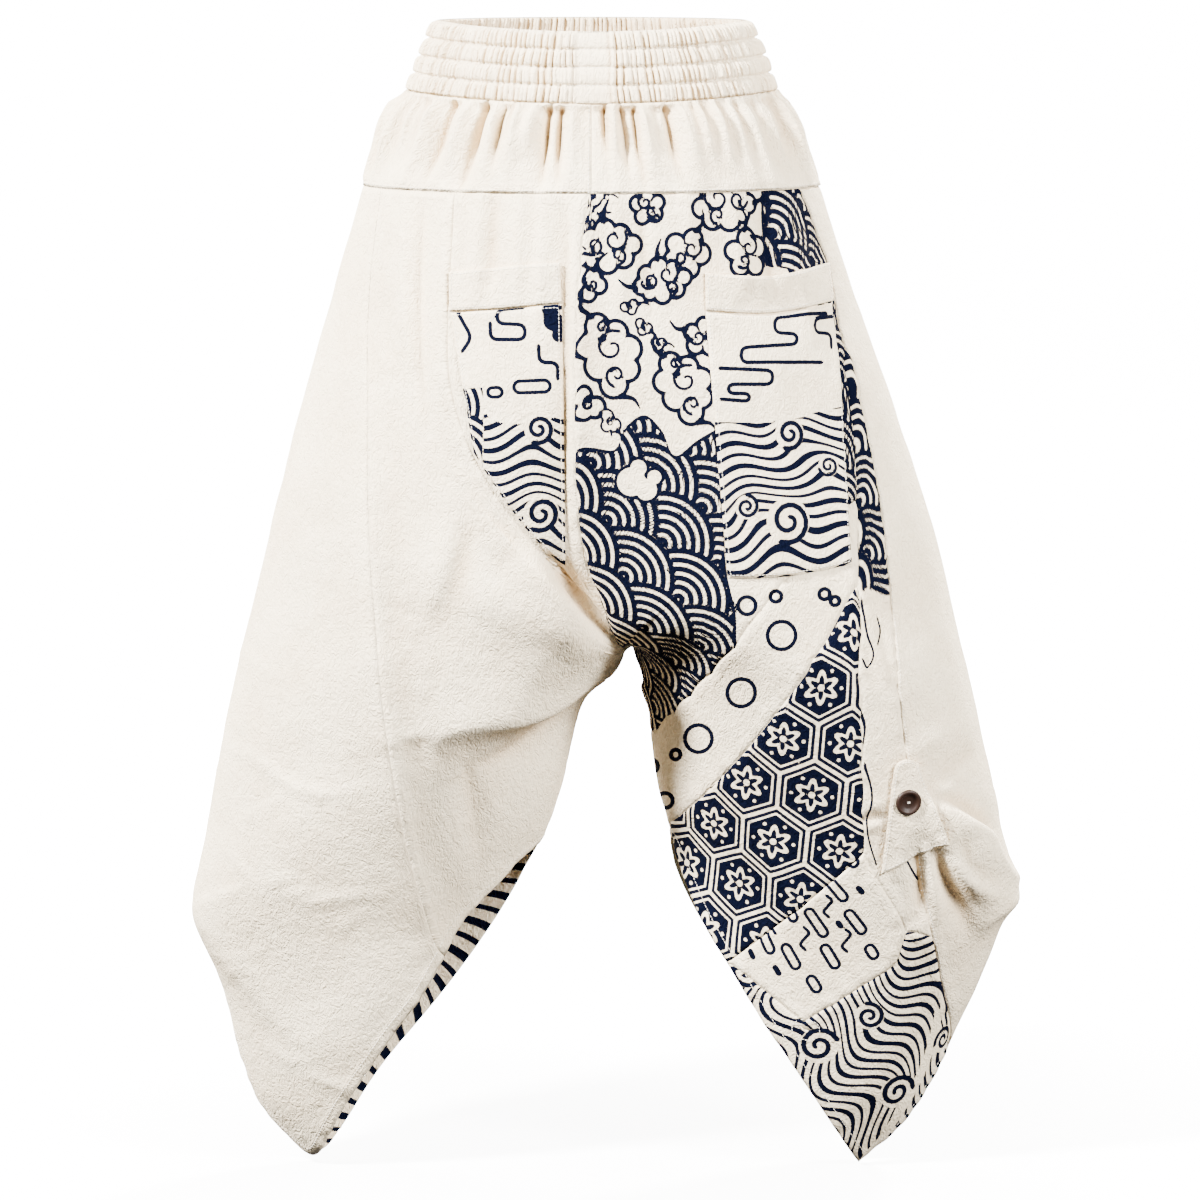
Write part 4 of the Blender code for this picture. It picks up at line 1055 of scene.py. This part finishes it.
def backWavesPrint(piece):
    field = newField(piece)
    everywhere = np.ones(len(field["flat"]), bool)
    waves(field, piece, everywhere, 24, 15, 7.4, 11, 170, [
        (-70, 190, 23, 0, 1), (-160, 280, 22, 180, -1), (-60, 380, 24, 60, 1), (-180, 440, 22, 200, -1),
        (-90, 540, 22, 90, 1), (-220, 580, 23, 0, 1), (-130, 680, 22, 30, 1), (-250, 740, 20, 180, -1),
        (-170, 820, 20, 60, 1)])
    return field


prints = {"left_front_top": frontTopPrint, "left_bubble_band": bubblePrint, "left_dark_band": hexagonPrint,
          "left_mist_patch": mistPrint, "left_hem_waves": hemWavesPrint, "left_side_strip": stripPrint,
          "right_leg_back": backWavesPrint}


def inkValues(field):
    ground = field.get("ground", np.zeros(len(field["flat"])))
    return {"ink": np.clip(field["ink"], -noInk, noInk), "side": np.clip(field["side"], -noLine, noLine),
            "ground": ground, "wave": field["wave"], "waved": field["waved"]}


def sheetFacts(piece):
    # width and length of the smallest rectangle that the flat piece is cut from, and its own area
    area = float(faceArea(piece["points"], piece["faces"]).sum())
    sizes = []
    for turn in np.radians(np.arange(0, 90, 1.5)):
        c, s = math.cos(turn), math.sin(turn)
        turned = piece["uvs"] @ np.array([[c, -s], [s, c]])
        sizes.append(turned.max(0) - turned.min(0))
    size = min(sizes, key=lambda s: s[0] * s[1])
    return (float(size[0]), float(size[1])), min(area, float(size[0] * size[1]))


# a distance from seams and hems at which they don't matter, in mm
far = 30.0


def addCloth(name, piece, values, wall, cut, area, held, rests=()):
    printed = name in prints
    material = printedCotton if printed else creamCotton
    thing = makeMesh(name + "_cloth", piece["points"], piece["faces"], material, piece["uvs"], values)
    if wall:
        giveWall(thing, wall)
    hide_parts(name)
    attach(thing, "root")
    print(name, "cut", [round(side, 3) for side in cut], "area", round(area, 4), "faces", len(piece["faces"]))


def buildLegs():
    joined = joinedLegs()
    grids = {level: refined(joined, level) for level in (3, 4)}
    bpy.data.objects.remove(joined)
    for level, grid in grids.items():
        points = grid["points"]
        rim = points[rimEdges(grid["faces"]).ravel()]
        grid["hemRim"] = rim[rim[:, 2] < legs["hemTop"]]
        grid["lift"] = foldHeight(points) + softRipples(points)
        # painted shade: the colour darkens where the cloth lies below its surroundings
        grid["crease"] = shadeBelowCloth(grid["faces"], grid["lift"], 14 if level == 3 else 56)
    made = {}
    for number, name in enumerate(legs["pieces"]):
        grid = grids[4 if name in legs["finePieces"] else 3]
        piece = cutOut(grid, grid["piece"] == number)
        layFlat(piece)
        base = piece["points"]
        seamAway, seamPoint = nearestOn(base, pointsOnEdges(base, rimEdges(piece["faces"])))
        hemAway = np.full(len(base), far * mm)
        if base[:, 2].min() < legs["hemReach"]:
            hemAway, _ = nearestOn(base, grid["hemRim"])
        firm = np.ones(len(base))
        if name in legs["softSeamPieces"]:
            # the seam between front and side is hardly seen
            firm[(seamPoint[:, 0] < -0.12) & (seamPoint[:, 1] < 0) & (seamPoint[:, 2] > -0.77)] = 0.3
        sunk = legs["seamDepth"] * np.exp(-(seamAway / legs["seamWidth"]) ** 2)
        lift = grid["lift"][piece["used"]] + firm * (puckers(seamPoint, seamAway) - sunk)
        # the soft seam sinks less
        seam = np.minimum(seamAway / mm + 1.7 * (firm < 1), far)
        values = {"seam": seam, "hem": np.minimum(hemAway / mm, far), "crease": grid["crease"][piece["used"]]}
        if name in prints:
            values.update(inkValues(prints[name](dict(piece))))
        piece.update(points=base + piece["normals"] * lift[:, None], hem=hemAway, seam=seamAway)
        thick = hemAway.min() < 3 * mm and name != legs["singleLayer"]
        addCloth(name, piece, values, legs["clothThickness"] * thick, *sheetFacts(piece), "hung")
        made[name] = piece
    print("legs done", sum(len(piece["faces"]) for piece in made.values()), "faces")
    return made


legPieces = buildLegs()


# waistband and yoke

waist = {
    "drops": [-31, -16, -1, 13, 28, 50, 76, 108],
    "widths": [140, 143, 148, 152, 158, 171, 181, 195],
    "depths": [100, 101, 104, 108, 112, 120, 126, 130],
    "frontDip": 7,
    "bandTop": -31,
    "bandLow": 28,
    "yokeLow": 108,
    "channels": 4,
    "bandColumns": 1400,
    "bandRows": 32,
    "innerRows": 9,
    "gathers": 214,
    "gatherHeight": 4.4,
    "channelSwell": 1.9,
    # how far the elastic draws the band in at its top, between the channels and at its foot
    "drawnIn": [-11, -7, -5, -4.5, -4],
    "bandWall": 3,
    "flatHalf": 5.2,
    # width and height of the band's cut that shows, in m, and its area
    "bandCut": (1.12, 0.066),
    "bandArea": 0.0739,
    "bandGrain": 1.08,
}


def oval(angle, drop, outward):
    width = smoothCurve(waist["drops"], waist["widths"], drop)
    depth = smoothCurve(waist["drops"], waist["depths"], drop)
    x, y = width * np.sin(angle), -depth * np.cos(angle)
    away = np.stack([x / width ** 2, y / depth ** 2], axis=-1)
    away /= np.linalg.norm(away, axis=-1, keepdims=True)
    fade = np.clip((waist["yokeLow"] - drop) / (waist["yokeLow"] - waist["bandLow"]), 0, 1)
    sag = waist["frontDip"] * np.maximum(0, np.cos(angle)) ** 2 * fade
    return np.stack([x + away[..., 0] * outward, y + away[..., 1] * outward, -drop - sag], axis=-1) * mm


gatherRandom = np.random.default_rng(7)


def gatherPlaces():
    # gathers at uneven distances; none on the flat bit at the centre front
    steps = gatherRandom.uniform(0.55, 1.45, waist["gathers"])
    places = np.cumsum(steps) / steps.sum() * (360 - 2 * waist["flatHalf"]) + waist["flatHalf"]
    return np.radians(places)


def gatherHeight(angle, places, heights, widths, lean):
    # rounded ridges with narrow creases between them
    degrees = angle % (2 * math.pi)
    total = np.zeros(np.broadcast(degrees, lean).shape)
    for place, height, width in zip(places, heights, widths):
        away = (degrees - place - lean + math.pi) % (2 * math.pi) - math.pi
        total = np.maximum(total, height * np.sqrt(np.maximum(0, 1 - (away / width) ** 2)))
    return total


def flatFront(angle):
    degrees = np.abs(np.degrees((angle + math.pi) % (2 * math.pi) - math.pi))
    return smoothStep(waist["flatHalf"] - 0.8, waist["flatHalf"] + 1.6, degrees)


bandGrooves = []


def buildWaistband():
    columns, rows, innerRows = waist["bandColumns"], waist["bandRows"], waist["innerRows"]
    top, foot, channels = waist["bandTop"], waist["bandLow"], waist["channels"]
    full = waist["gatherHeight"]
    angle = np.linspace(0, 2 * math.pi, columns, endpoint=False)[None, :]
    share = np.linspace(0, 1, rows + 1)[:, None]
    drop = top + (foot - top) * share
    channel = np.clip((share * channels).astype(int), 0, channels - 1)
    inChannel = np.sin(np.pi * (share * channels % 1.0001))
    places = gatherPlaces()
    pitch = 2 * math.pi / waist["gathers"]
    out = np.zeros((rows + 1, columns))
    for k in range(channels):
        heights = full * gatherRandom.uniform(0.6, 1.2, len(places))
        widths = pitch * gatherRandom.uniform(0.4, 0.58, len(places))
        shift = gatherRandom.uniform(-0.22, 0.22, len(places)) * pitch
        lean = 0.25 * pitch * np.sin(angle * 9 + k * 2.1) * (share * channels - k - 0.5)
        out += np.where(channel == k, gatherHeight(angle, places + shift, heights, widths, lean), 0)
    flat = flatFront(angle)
    swell = waist["channelSwell"] * np.sqrt(inChannel) * smoothStep(1.25, 0.6, share)
    firm = 0.4 + 0.6 * np.minimum(1, inChannel * 2.2)
    drawnIn = smoothCurve([0, 0.25, 0.5, 0.75, 1], waist["drawnIn"], share)
    outward = swell + drawnIn + out * firm * flat + 0.5 * (1 - flat) * np.sqrt(inChannel)
    outer = oval(angle, drop + 0 * angle, outward)

    innerShare = np.linspace(0, 1, innerRows)[:, None]
    innerDrop = foot - 0.5 + (top - foot + 1.2) * innerShare
    heights = full * gatherRandom.uniform(0.5, 1.6, len(places))
    widths = pitch * gatherRandom.uniform(0.35, 0.6, len(places))
    innerRidge = gatherHeight(angle, places, heights, widths, 0 * angle)
    innerDrawn = smoothCurve([0, 0.5, 1], [0, -2, -7], innerShare)
    inward = -waist["bandWall"] - 0.5 + innerDrawn - innerRidge * (0.9 + 0.4 * np.sin(innerShare * 12)) * flat
    inner = oval(angle, innerDrop + 0 * angle, inward)

    points = np.concatenate([outer.reshape(-1, 3), inner.reshape(-1, 3)])
    faces = ringFaces(rows + 1 + innerRows, columns, True)
    run = np.concatenate([drop.ravel(), innerDrop.ravel() + 60])
    across = (faces[:, [0, 0, 0, 0]] % columns + [0, 0, 1, 1]) / columns * waist["bandGrain"]
    uvs = np.stack([across, -run[faces // columns] * mm], axis=2).reshape(-1, 2)
    groove = np.abs((share * channels + 0.5) % 1 - 0.5) * (foot - top) / channels
    seam = np.concatenate([np.repeat(groove.ravel(), columns), np.full(innerRows * columns, far)])
    # painted shade: darker colour in the valleys between gathers, and over the whole inside of the band
    gatherShadow = (1 - np.clip(out / (0.62 * full), 0, 1)) * flat
    innerBandShadow = 1 - 0.5 * np.clip(innerRidge / full, 0, 1) + 0 * innerShare
    values = {"seam": seam, "hem": np.full(len(points), far), "crease": np.append(gatherShadow, innerBandShadow)}
    for row in (8, 16, 24):
        line = points[row * columns:(row + 1) * columns]
        middle = line * (1, 1, 0)
        bandGrooves.append((line, middle / np.linalg.norm(middle, axis=1, keepdims=True)))
    band = {"points": points, "faces": faces, "uvs": uvs}
    addCloth("waistband", band, values, 0, waist["bandCut"], waist["bandArea"], "gathered")


buildWaistband()

# x of each soft fold of the front yoke in mm, its height, half width, how it leans and how far down it runs
yokeFront = [
    (-158, 2.6, 5.0, -0.08, 0.9), (-150, 2.0, 4.0, -0.06, 0.6), (-133, 3.2, 6.5, -0.05, 1.0),
    (-120, -2.4, 4.0, -0.04, 0.9), (-107, 3.4, 6.5, -0.04, 0.8), (-93, -3.2, 3.6, -0.02, 1.0),
    (-80, 3.2, 6.0, -0.02, 0.8), (-75, -2.6, 2.8, 0.0, 0.7), (-63, 3.0, 5.5, 0.0, 0.8),
    (-51, 2.6, 5.0, 0.0, 0.6), (-38, -3.4, 3.2, 0.02, 0.9), (-27, -3.2, 3.0, 0.03, 0.9),
    (-16, 2.0, 4.5, 0.0, 1.0), (11, -2.2, 3.0, 0.03, 0.6), (17, 2.4, 4.0, 0.04, 0.6),
    (26, -2.6, 3.0, 0.04, 0.8), (36, -2.6, 3.2, 0.05, 0.9), (43, 3.0, 5.0, 0.05, 0.8),
    (64, -2.4, 4.0, 0.04, 0.8), (77, 2.8, 6.0, 0.05, 0.9), (91, 2.6, 4.5, 0.05, 0.7),
    (104, 2.8, 5.5, 0.05, 0.8), (117, 2.4, 4.5, 0.05, 0.9), (130, 2.6, 5.5, 0.05, 1.0),
    (145, 2.6, 5.0, 0.06, 0.8), (157, 2.4, 4.5, 0.08, 1.0)]


yoke = {
    "spans": {"yoke_front_right": (-90, 0), "yoke_front_left": (0, 90), "yoke_back": (90, 270)},
    "columns": 560,
    "rows": 34,
    # how much fuller than given above the ridges and valleys are, and how far the yoke is drawn in between
    "ridge": 3.0,
    "valley": 3.9,
    "valleyWidth": 0.75,
    "drawnIn": 6,
    # small gathers below the band
    "smallGathers": (2.5, 6.0),
    "insetDrops": [28, 36, 58, 82, 108],
    "insets": [4.5, 2.5, 0.8, 0.2, 0],
    "radius": 165,
    "fullness": 1.1,
    "cutHeight": 0.086,
}


def yokeFolds():
    folds = []
    for x, height, width, lean, reach in yokeFront:
        folds.append((math.asin(np.clip(x / 166, -0.99, 0.99)), height, width / 150, lean * 0.4, reach))
    place = math.radians(74)
    while place < math.radians(286):
        height = gatherRandom.uniform(1.6, 3.6) * (1 if gatherRandom.random() < 0.6 else -0.8)
        width = gatherRandom.uniform(3.2, 6.5) / 150
        lean = gatherRandom.uniform(-0.03, 0.03)
        folds.append((place, height, width, lean, gatherRandom.uniform(0.5, 1.0)))
        place += gatherRandom.uniform(0.045, 0.1)
    return folds


yokePieces = {}


def buildYoke():
    folds = yokeFolds()
    places = gatherPlaces()[::2]
    heights = gatherRandom.uniform(*yoke["smallGathers"], len(places))
    widths = 4 * math.pi / waist["gathers"] * gatherRandom.uniform(0.42, 0.62, len(places))
    top, foot, rows = waist["bandLow"], waist["yokeLow"], yoke["rows"]
    for name, (first, last) in yoke["spans"].items():
        columns = round(yoke["columns"] * (last - first) / 360)
        angle, share = np.meshgrid(np.radians(np.linspace(first, last, columns + 1)),
                                   np.linspace(0, 1, rows + 1) ** 1.15)
        drop = top + (foot - top) * share
        out = np.zeros(angle.shape)
        for place, height, width, lean, reach in folds:
            away = (angle - place - lean * share + math.pi) % (2 * math.pi) - math.pi
            rise = smoothStep(0.0, 0.12, share) * (1 - smoothStep(reach * 0.45, reach * 1.15, share))
            spread = width * (1 + 0.7 * share)
            if height > 0:
                out += yoke["ridge"] * height * (rise + 0.12) * np.exp(-np.abs(away / spread) ** 1.6)
            else:
                narrow = np.exp(-np.abs(away / (yoke["valleyWidth"] * spread)) ** 1.1)
                out += yoke["valley"] * height * (rise + 0.2) * narrow
        out -= yoke["drawnIn"] * smoothStep(0.0, 0.1, share) * (1 - smoothStep(0.3, 1.0, share))
        small = gatherHeight(angle, places, heights, widths, 0 * angle)
        out += small * (1 - smoothStep(0.0, 0.62, share)) * flatFront(angle)
        inset = smoothCurve(yoke["insetDrops"], yoke["insets"], drop)
        points = oval(angle, drop, out * smoothStep(1.02, 0.9, share) - inset).reshape(-1, 3)
        base = oval(angle, drop, 0 * out).reshape(-1, 3)
        shift = foldHeight(base) * smoothStep(0.55, 1.0, share).ravel()
        outwards = base / (waist["widths"][-1] ** 2, waist["depths"][-1] ** 2, 1) * (1, 1, 0)
        outwards /= np.linalg.norm(outwards, axis=1, keepdims=True)
        points += outwards * (shift + softRipples(base))[:, None]
        k = (np.arange(rows)[:, None] * (columns + 1) + np.arange(columns)).ravel()
        faces = np.stack([k, k + columns + 1, k + columns + 2, k + 1], axis=1)
        flat = np.stack([angle * yoke["radius"] * mm, -drop * mm], axis=-1).reshape(-1, 2)
        toSide = (np.minimum(angle - angle.min(), angle.max() - angle) * yoke["radius"]).ravel()
        low = (foot - drop).ravel()
        seam = np.minimum(np.minimum((drop - top).ravel(), low), toSide)
        piece = {"points": points, "normals": outwards, "faces": faces, "uvs": flat[faces.ravel()],
                 "low": low, "sideways": toSide}
        # painted shade in the valleys of the yoke's folds
        values = {"seam": np.minimum(seam, far), "hem": np.full(len(seam), far),
                  "crease": shadeBelowCloth(faces, (out * mm).ravel() + shift, 16)}
        width = float(np.ptp(flat[:, 0])) * yoke["fullness"]
        area = float(min(faceArea(points, faces).sum(), width * yoke["cutHeight"]))
        addCloth(name, piece, values, legs["clothThickness"], (width, yoke["cutHeight"]), area, "gathered")
        yokePieces[name] = piece


buildYoke()


# pockets and tab, sewn on the front

# each with the piece that it is sewn on
patches = {
    "right_pocket_body": "right_front_inset",
    "right_pocket_band": "right_front_inset",
    "left_pocket_body": "left_front_top",
    "left_pocket_band": "left_front_top",
    "left_tab": "left_side_panel",
}
patchWall = 1.6 * mm
tabLift = 1.4 * mm
pocketGape = 4.5 * mm


def mistLines(field, piece, paths):
    # mist as long runs joined by half rounds
    for path in paths:
        stroke(field, rounded([placeOf(piece, x, drop) for x, drop in path], 6.5), 3.5)


def rightPocketPrint(piece):
    field = newField(piece)
    flat = field["flat"]
    low = flat[:, 1] < levelOf(piece, [(-130, 304), (-96, 300), (-92, 306), (-10, 306)], flat[:, 0])
    left = flat[:, 0] < placeOf(piece, -94, 330)[0]
    fanned = left & (flat[:, 1] < placeOf(piece, -110, 284)[1])
    scales(field, placeOf(piece, -122, 350), fanned, **dict(fans, radius=46, pitch=7.4, line=4.4))
    waves(field, piece, low & ~left, 2, 9.8, 4.8, 4.5, 66, [(-46, 320, 12, 250, 1), (-44, 394, 15, 250, 1)])
    mistLines(field, piece, [
        [(-60, 214), (-82, 216), (-82, 228), (-58, 229), (-58, 242), (-88, 242), (-88, 228)],
        [(-20, 214), (-40, 216), (-40, 228), (-22, 230)],
        [(-118, 214), (-112, 226), (-104, 240), (-112, 252)],
        [(-46, 248), (-46, 262), (-30, 262), (-30, 276)]])
    for x, drop, length, half in [(-52, 283, 30, 4.8), (-84, 288, 12, 4)]:
        stroke(field, moved(capsule(length, half), *placeOf(piece, x, drop), 1, 0), 3.2)
    blob = [(*placeOf(piece, x, drop), r) for x, drop, r in [(-36, 216, 7), (-34, 226, 8), (-29, 238, 6)]]
    near = nearLine(field, np.array(blob)[:, :2], 16)
    shapeFill(field, near, fromCircles(flat[near], blob))
    return field


def leftPocketPrint(piece):
    field = newField(piece)
    flat = field["flat"]
    low = flat[:, 1] < levelOf(piece, [(100, 313), (140, 315), (180, 309), (222, 298)], flat[:, 0])
    waves(field, piece, low, 7, 9.8, 5.0, 5.0, 70, [
        (170, 400, 19, 250, 1), (171, 324, 13, 250, 1), (134, 388, 10, 90, -1), (204, 352, 9, 200, 1)])
    mistLines(field, piece, [
        [(202, 219), (158, 223), (158, 236), (177, 237), (177, 246), (129, 249), (129, 262), (198, 262)],
        [(214, 221), (192, 224), (192, 236), (206, 237), (206, 249)],
        [(111, 267), (156, 269), (156, 281), (118, 281), (118, 289), (136, 289), (136, 296), (112, 294)]])
    return field


prints.update({"right_pocket_body": rightPocketPrint, "left_pocket_body": leftPocketPrint})


def buildPatches():
    made = {}
    for name, under in patches.items():
        printed = name in prints
        form = outerSheet(name, 2.0 * mm, lambda face: -face.normal.y)
        mesh = bpy.data.meshes.new(name)
        form.to_mesh(mesh)
        form.free()
        thing = linked(name, mesh)
        unwrap(thing)
        piece = refined(thing, 4 if printed else 3)
        bpy.data.objects.remove(thing)
        layFlat(piece)
        base = piece["points"]
        away, point = nearestOn(base, pointsOnEdges(base, rimEdges(piece["faces"])))
        lift = foldHeight(base) + softRipples(base) + 0.6 * puckers(point, away)
        # a pocket body has no thickness of its own, so its edge turns in further
        lift -= (2.3 if printed else 0.5) * mm * np.exp(-(away / (1.8 * mm)) ** 2)
        if name == "left_tab":
            lift += tabLift
        if name == "left_pocket_band":
            # the open edge of this pocket stands a little off the leg
            u = np.clip((base[:, 0] / mm - 93) / 108, 0, 1)
            lift += pocketGape * np.sin(np.pi * u) * smoothStep(-206, -176, base[:, 2] / mm)
        values = {"seam": np.full(len(away), far), "hem": np.full(len(away), far)}
        if printed:
            values.update(inkValues(prints[name](piece)))
        piece.update(points=base + piece["normals"] * lift[:, None], seam=away)
        addCloth(name, piece, values, 0 if printed else patchWall, *sheetFacts(piece), "draped", [under])
        made[name] = piece
    print("patches done", sum(len(piece["faces"]) for piece in made.values()), "faces")
    return made


patchPieces = buildPatches()


# sewing thread

sewing = {
    "pitch": 3.2 * mm,
    "stitch": 2.7 * mm,
    "radius": 0.32 * mm,
    # how far from the edge the thread runs, in mm
    "hemStitch": 9.0,
    "seamStitch": 2.4,
    "centreStitch": 2.2,
}


def contours(points, normals, faces, values, level):
    # the lines on the cloth where the value equals the level
    corners = np.concatenate([faces[:, [0, 1, 2]], faces[:, [0, 2, 3]]])
    offset = values[corners] - level
    crossed = (offset.min(1) < 0) & (offset.max(1) >= 0)
    links, spots = {}, {}
    for corner, away in zip(corners[crossed].tolist(), offset[crossed].tolist()):
        ends = []
        for a, b in ((0, 1), (1, 2), (2, 0)):
            if (away[a] < 0) != (away[b] < 0):
                key = (min(corner[a], corner[b]), max(corner[a], corner[b]))
                t = away[a] / (away[a] - away[b])
                spots[key] = (points[corner[a]] * (1 - t) + points[corner[b]] * t,
                              normals[corner[a]] * (1 - t) + normals[corner[b]] * t)
                ends.append(key)
        if len(ends) == 2:
            links.setdefault(ends[0], []).append(ends[1])
            links.setdefault(ends[1], []).append(ends[0])
    lines, seen = [], set()
    for first in sorted(links, key=lambda key: len(links[key])):
        if first in seen:
            continue
        chain = [first]
        seen.add(first)
        while True:
            onward = [key for key in links[chain[-1]] if key not in seen]
            if not onward:
                break
            seen.add(onward[0])
            chain.append(onward[0])
        if len(chain) > 3:
            lines.append([np.array(column) for column in zip(*(spots[key] for key in chain))])
    return lines


stitchEnds = []


def sewAlong(line, normals, keep=None):
    along = np.concatenate([[0], np.cumsum(np.linalg.norm(np.diff(line, axis=0), axis=1))])
    count = int(along[-1] / sewing["pitch"])
    for k in range(count):
        start = k * sewing["pitch"]
        ends = [np.array([np.interp(place, along, column) for column in line.T])
                for place in (start, start + sewing["stitch"])]
        normal = np.array([np.interp(start, along, column) for column in normals.T])
        if keep is None or keep(ends[0]):
            stitchEnds.append((ends[0], ends[1], normal / np.linalg.norm(normal)))


def sewContour(piece, values, level, keep=None):
    for line, normals in contours(piece["points"], piece["normals"], piece["faces"], values, level):
        sewAlong(line, normals, keep)


# radius and height of the button's turned outline, and the thread that holds it, in mm
button = {
    "outline": [(0.0, 2.1), (1.6, 2.1), (3.4, 2.25), (5.4, 2.6), (6.8, 3.3), (7.8, 4.1), (8.8, 4.5),
                (9.8, 4.5), (10.7, 4.0), (11.2, 3.1), (11.2, 2.0), (10.6, 1.0), (9.0, 0.5), (0.0, 0.5)],
    "turns": 64,
    "threads": [(-1.7, -0.55, 1.7, -0.55), (-1.7, 0.0, 1.7, 0.05), (-1.7, 0.6, 1.7, 0.5),
                (-0.4, -1.0, 0.5, 1.0)],
    "threadHeight": 2.5,
}


def buildButton():
    corners = np.array([vertex.co for vertex in nodes["button"].data.vertices])
    middle = corners.mean(0)
    axis = np.linalg.svd(corners - middle)[2][2]
    # it points away from the leg
    axis = axis if axis[1] < 0 else -axis
    low = ((corners - middle) @ axis).min()
    across = np.cross(axis, (0, 0, 1))
    across /= np.linalg.norm(across)
    axes = np.array([across, np.cross(across, axis), axis])
    outline = smoothLine(button["outline"], 0.5)
    turn = np.linspace(0, 2 * math.pi, button["turns"], endpoint=False)
    local = np.array([(r * math.cos(t), r * math.sin(t), h) for r, h in outline for t in turn])
    faces = ringFaces(len(outline), len(turn))
    seat = middle + axis * low
    points = local * mm @ axes + seat
    disc = makeMesh("button_turned", points, faces, darkWood)
    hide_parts("button")
    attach(disc, "root")
    for x1, y1, x2, y2 in button["threads"]:
        height = button["threadHeight"]
        start, end = np.array([(x1, y1, height), (x2, y2, height)]) * mm @ axes + seat
        stitchEnds.append((start, end, axis))
    print("button done")


buildButton()


# all the thread as one mesh

def buildStitches():
    for piece in legPieces.values():
        if piece["hem"].min() < 5 * mm:
            sewContour(piece, piece["hem"] / mm, sewing["hemStitch"])
    side = legPieces["left_side_panel"]
    sewContour(side, side["seam"] / mm, sewing["seamStitch"], lambda point: point[1] < -0.02)
    for piece in patchPieces.values():
        sewContour(piece, piece["seam"] / mm, sewing["seamStitch"])
    for name, piece in yokePieces.items():
        sewContour(piece, piece["low"], sewing["seamStitch"])
        if name == "yoke_front_right":
            sewContour(piece, piece["sideways"], sewing["centreStitch"], lambda point: point[0] > -0.03)
    for line, normals in bandGrooves:
        sewAlong(line, normals)
    points, faces = [], []
    radius = sewing["radius"]
    around = ((1, 0), (0, 1), (-1, 0), (0, -1))
    for k, (start, end, normal) in enumerate(stitchEnds):
        along = (end - start) / max(np.linalg.norm(end - start), 1e-9)
        side = np.cross(along, normal)
        lifted = normal * radius * 0.5
        points.append(start)
        for t in (0.22, 0.78):
            middle = start + (end - start) * t + lifted
            points += [middle + radius * (side * c + normal * s) for c, s in around]
        points.append(end)
        first, last = k * 10, k * 10 + 9
        for n in range(4):
            a, b = first + 1 + n, first + 1 + (n + 1) % 4
            faces += [(first, b, a), (a, b, b + 4), (a, b + 4, a + 4), (last, a + 4, b + 4)]
    thread = makeMesh("stitches", np.array(points), np.array(faces), sewingThread)
    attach(thread, "root")
    print("stitches done", len(stitchEnds))


buildStitches()


# stage, light and camera

stage = {
    "floorColour": "#CECDCC",
    "floorGrain": "#D4D3D2",
    "floorDrop": 960.2,
    "floorRadius": 6.0,
    "wallHeight": 1.6,
    # glow of the paper near the garment and of the lit paper far behind it
    "nearGlow": 1.0,
    "farGlow": 15.0,
    "glowReach": (0.4, 1.6),
    "turns": 96,
    "lens": 157,
    "worldColour": "#FFFFFF",
    "worldStrength": 0.12,
    # name, place, the point it is aimed at, size in metres, watts
    "lights": [("key", (-2.6, -1.9, 2.2), (0, 0, -0.5), 0.6, 1550),
               ("fill", (2.6, -2.2, 1.3), (0, 0, -0.5), 1.0, 570),
               ("back key", (1.9, 3.0, 1.9), (0, 0, -0.5), 0.8, 1000),
               ("back fill", (-2.2, 2.7, 1.0), (0, 0, -0.5), 1.2, 380)],
}


def buildStage():
    floorZ = -stage["floorDrop"] * mm
    radius = stage["floorRadius"]
    profile = smoothLine([(0.0, 0.0), (radius * 0.5, 0.0), (radius * 0.9, 0.02), (radius, 0.35),
                          (radius * 1.02, stage["wallHeight"])], 0.12)
    turn = np.linspace(0, 2 * math.pi, stage["turns"], endpoint=False)
    points = np.array([(r * math.cos(t), r * math.sin(t), floorZ + z) for r, z in profile for t in turn])
    faces = ringFaces(len(profile), stage["turns"])[:, ::-1]
    material, tree, shader = newMaterial("paper backdrop, seamless and lit")
    place = addNode(tree, "TexCoord").outputs["Object"]
    grain = addNode(tree, "TexNoise", None, {"Vector": place, "Scale": 300.0}).outputs[0]
    away = addNode(tree, "VectorMath", {"operation": "LENGTH"}, {0: place}).outputs["Value"]
    near, beyond = stage["glowReach"]
    glow = addNode(tree, "MapRange", {"interpolation_type": "SMOOTHSTEP"},
                   {0: away, 1: near, 2: beyond, 3: stage["nearGlow"], 4: stage["farGlow"]}).outputs[0]
    tree.links.new(glow, shader.inputs["Emission Strength"])
    finishShader(tree, shader, mixed(tree, grain, stage["floorColour"], stage["floorGrain"]),
                 {"Roughness": 0.95, "Emission Color": linearColour("#FFFFFF")})
    floor = makeMesh("backdrop", points, faces, material)
    # the glow of the paper doesn't reach the garment
    floor.visible_diffuse = False
    floor.visible_glossy = False
    world = bpy.data.worlds.new("studio")
    world.use_nodes = True
    background = world.node_tree.nodes["Background"]
    background.inputs[0].default_value = linearColour(stage["worldColour"])
    background.inputs[1].default_value = stage["worldStrength"]
    bpy.context.scene.world = world
    for name, place, aim, size, power in stage["lights"]:
        light = bpy.data.lights.new(name, "AREA")
        light.size = size
        light.energy = power
        lamp = linked(name, light)
        lamp.location = place
        lamp.rotation_euler = (Vector(aim) - Vector(place)).to_track_quat("-Z", "Y").to_euler()
    target = Vector(view["target"]) * mm
    camera = linked("camera", bpy.data.cameras.new("camera"))
    tilt = math.radians(view["tilt"])
    camera.location = target + Vector((0, -math.cos(tilt), math.sin(tilt))) * view["distance"] * mm
    camera.rotation_euler = (math.pi / 2 - tilt, 0, 0)
    camera.data.lens = stage["lens"]
    camera.data.sensor_width = 36
    bpy.context.scene.camera = camera
    print("stage done")


buildStage()
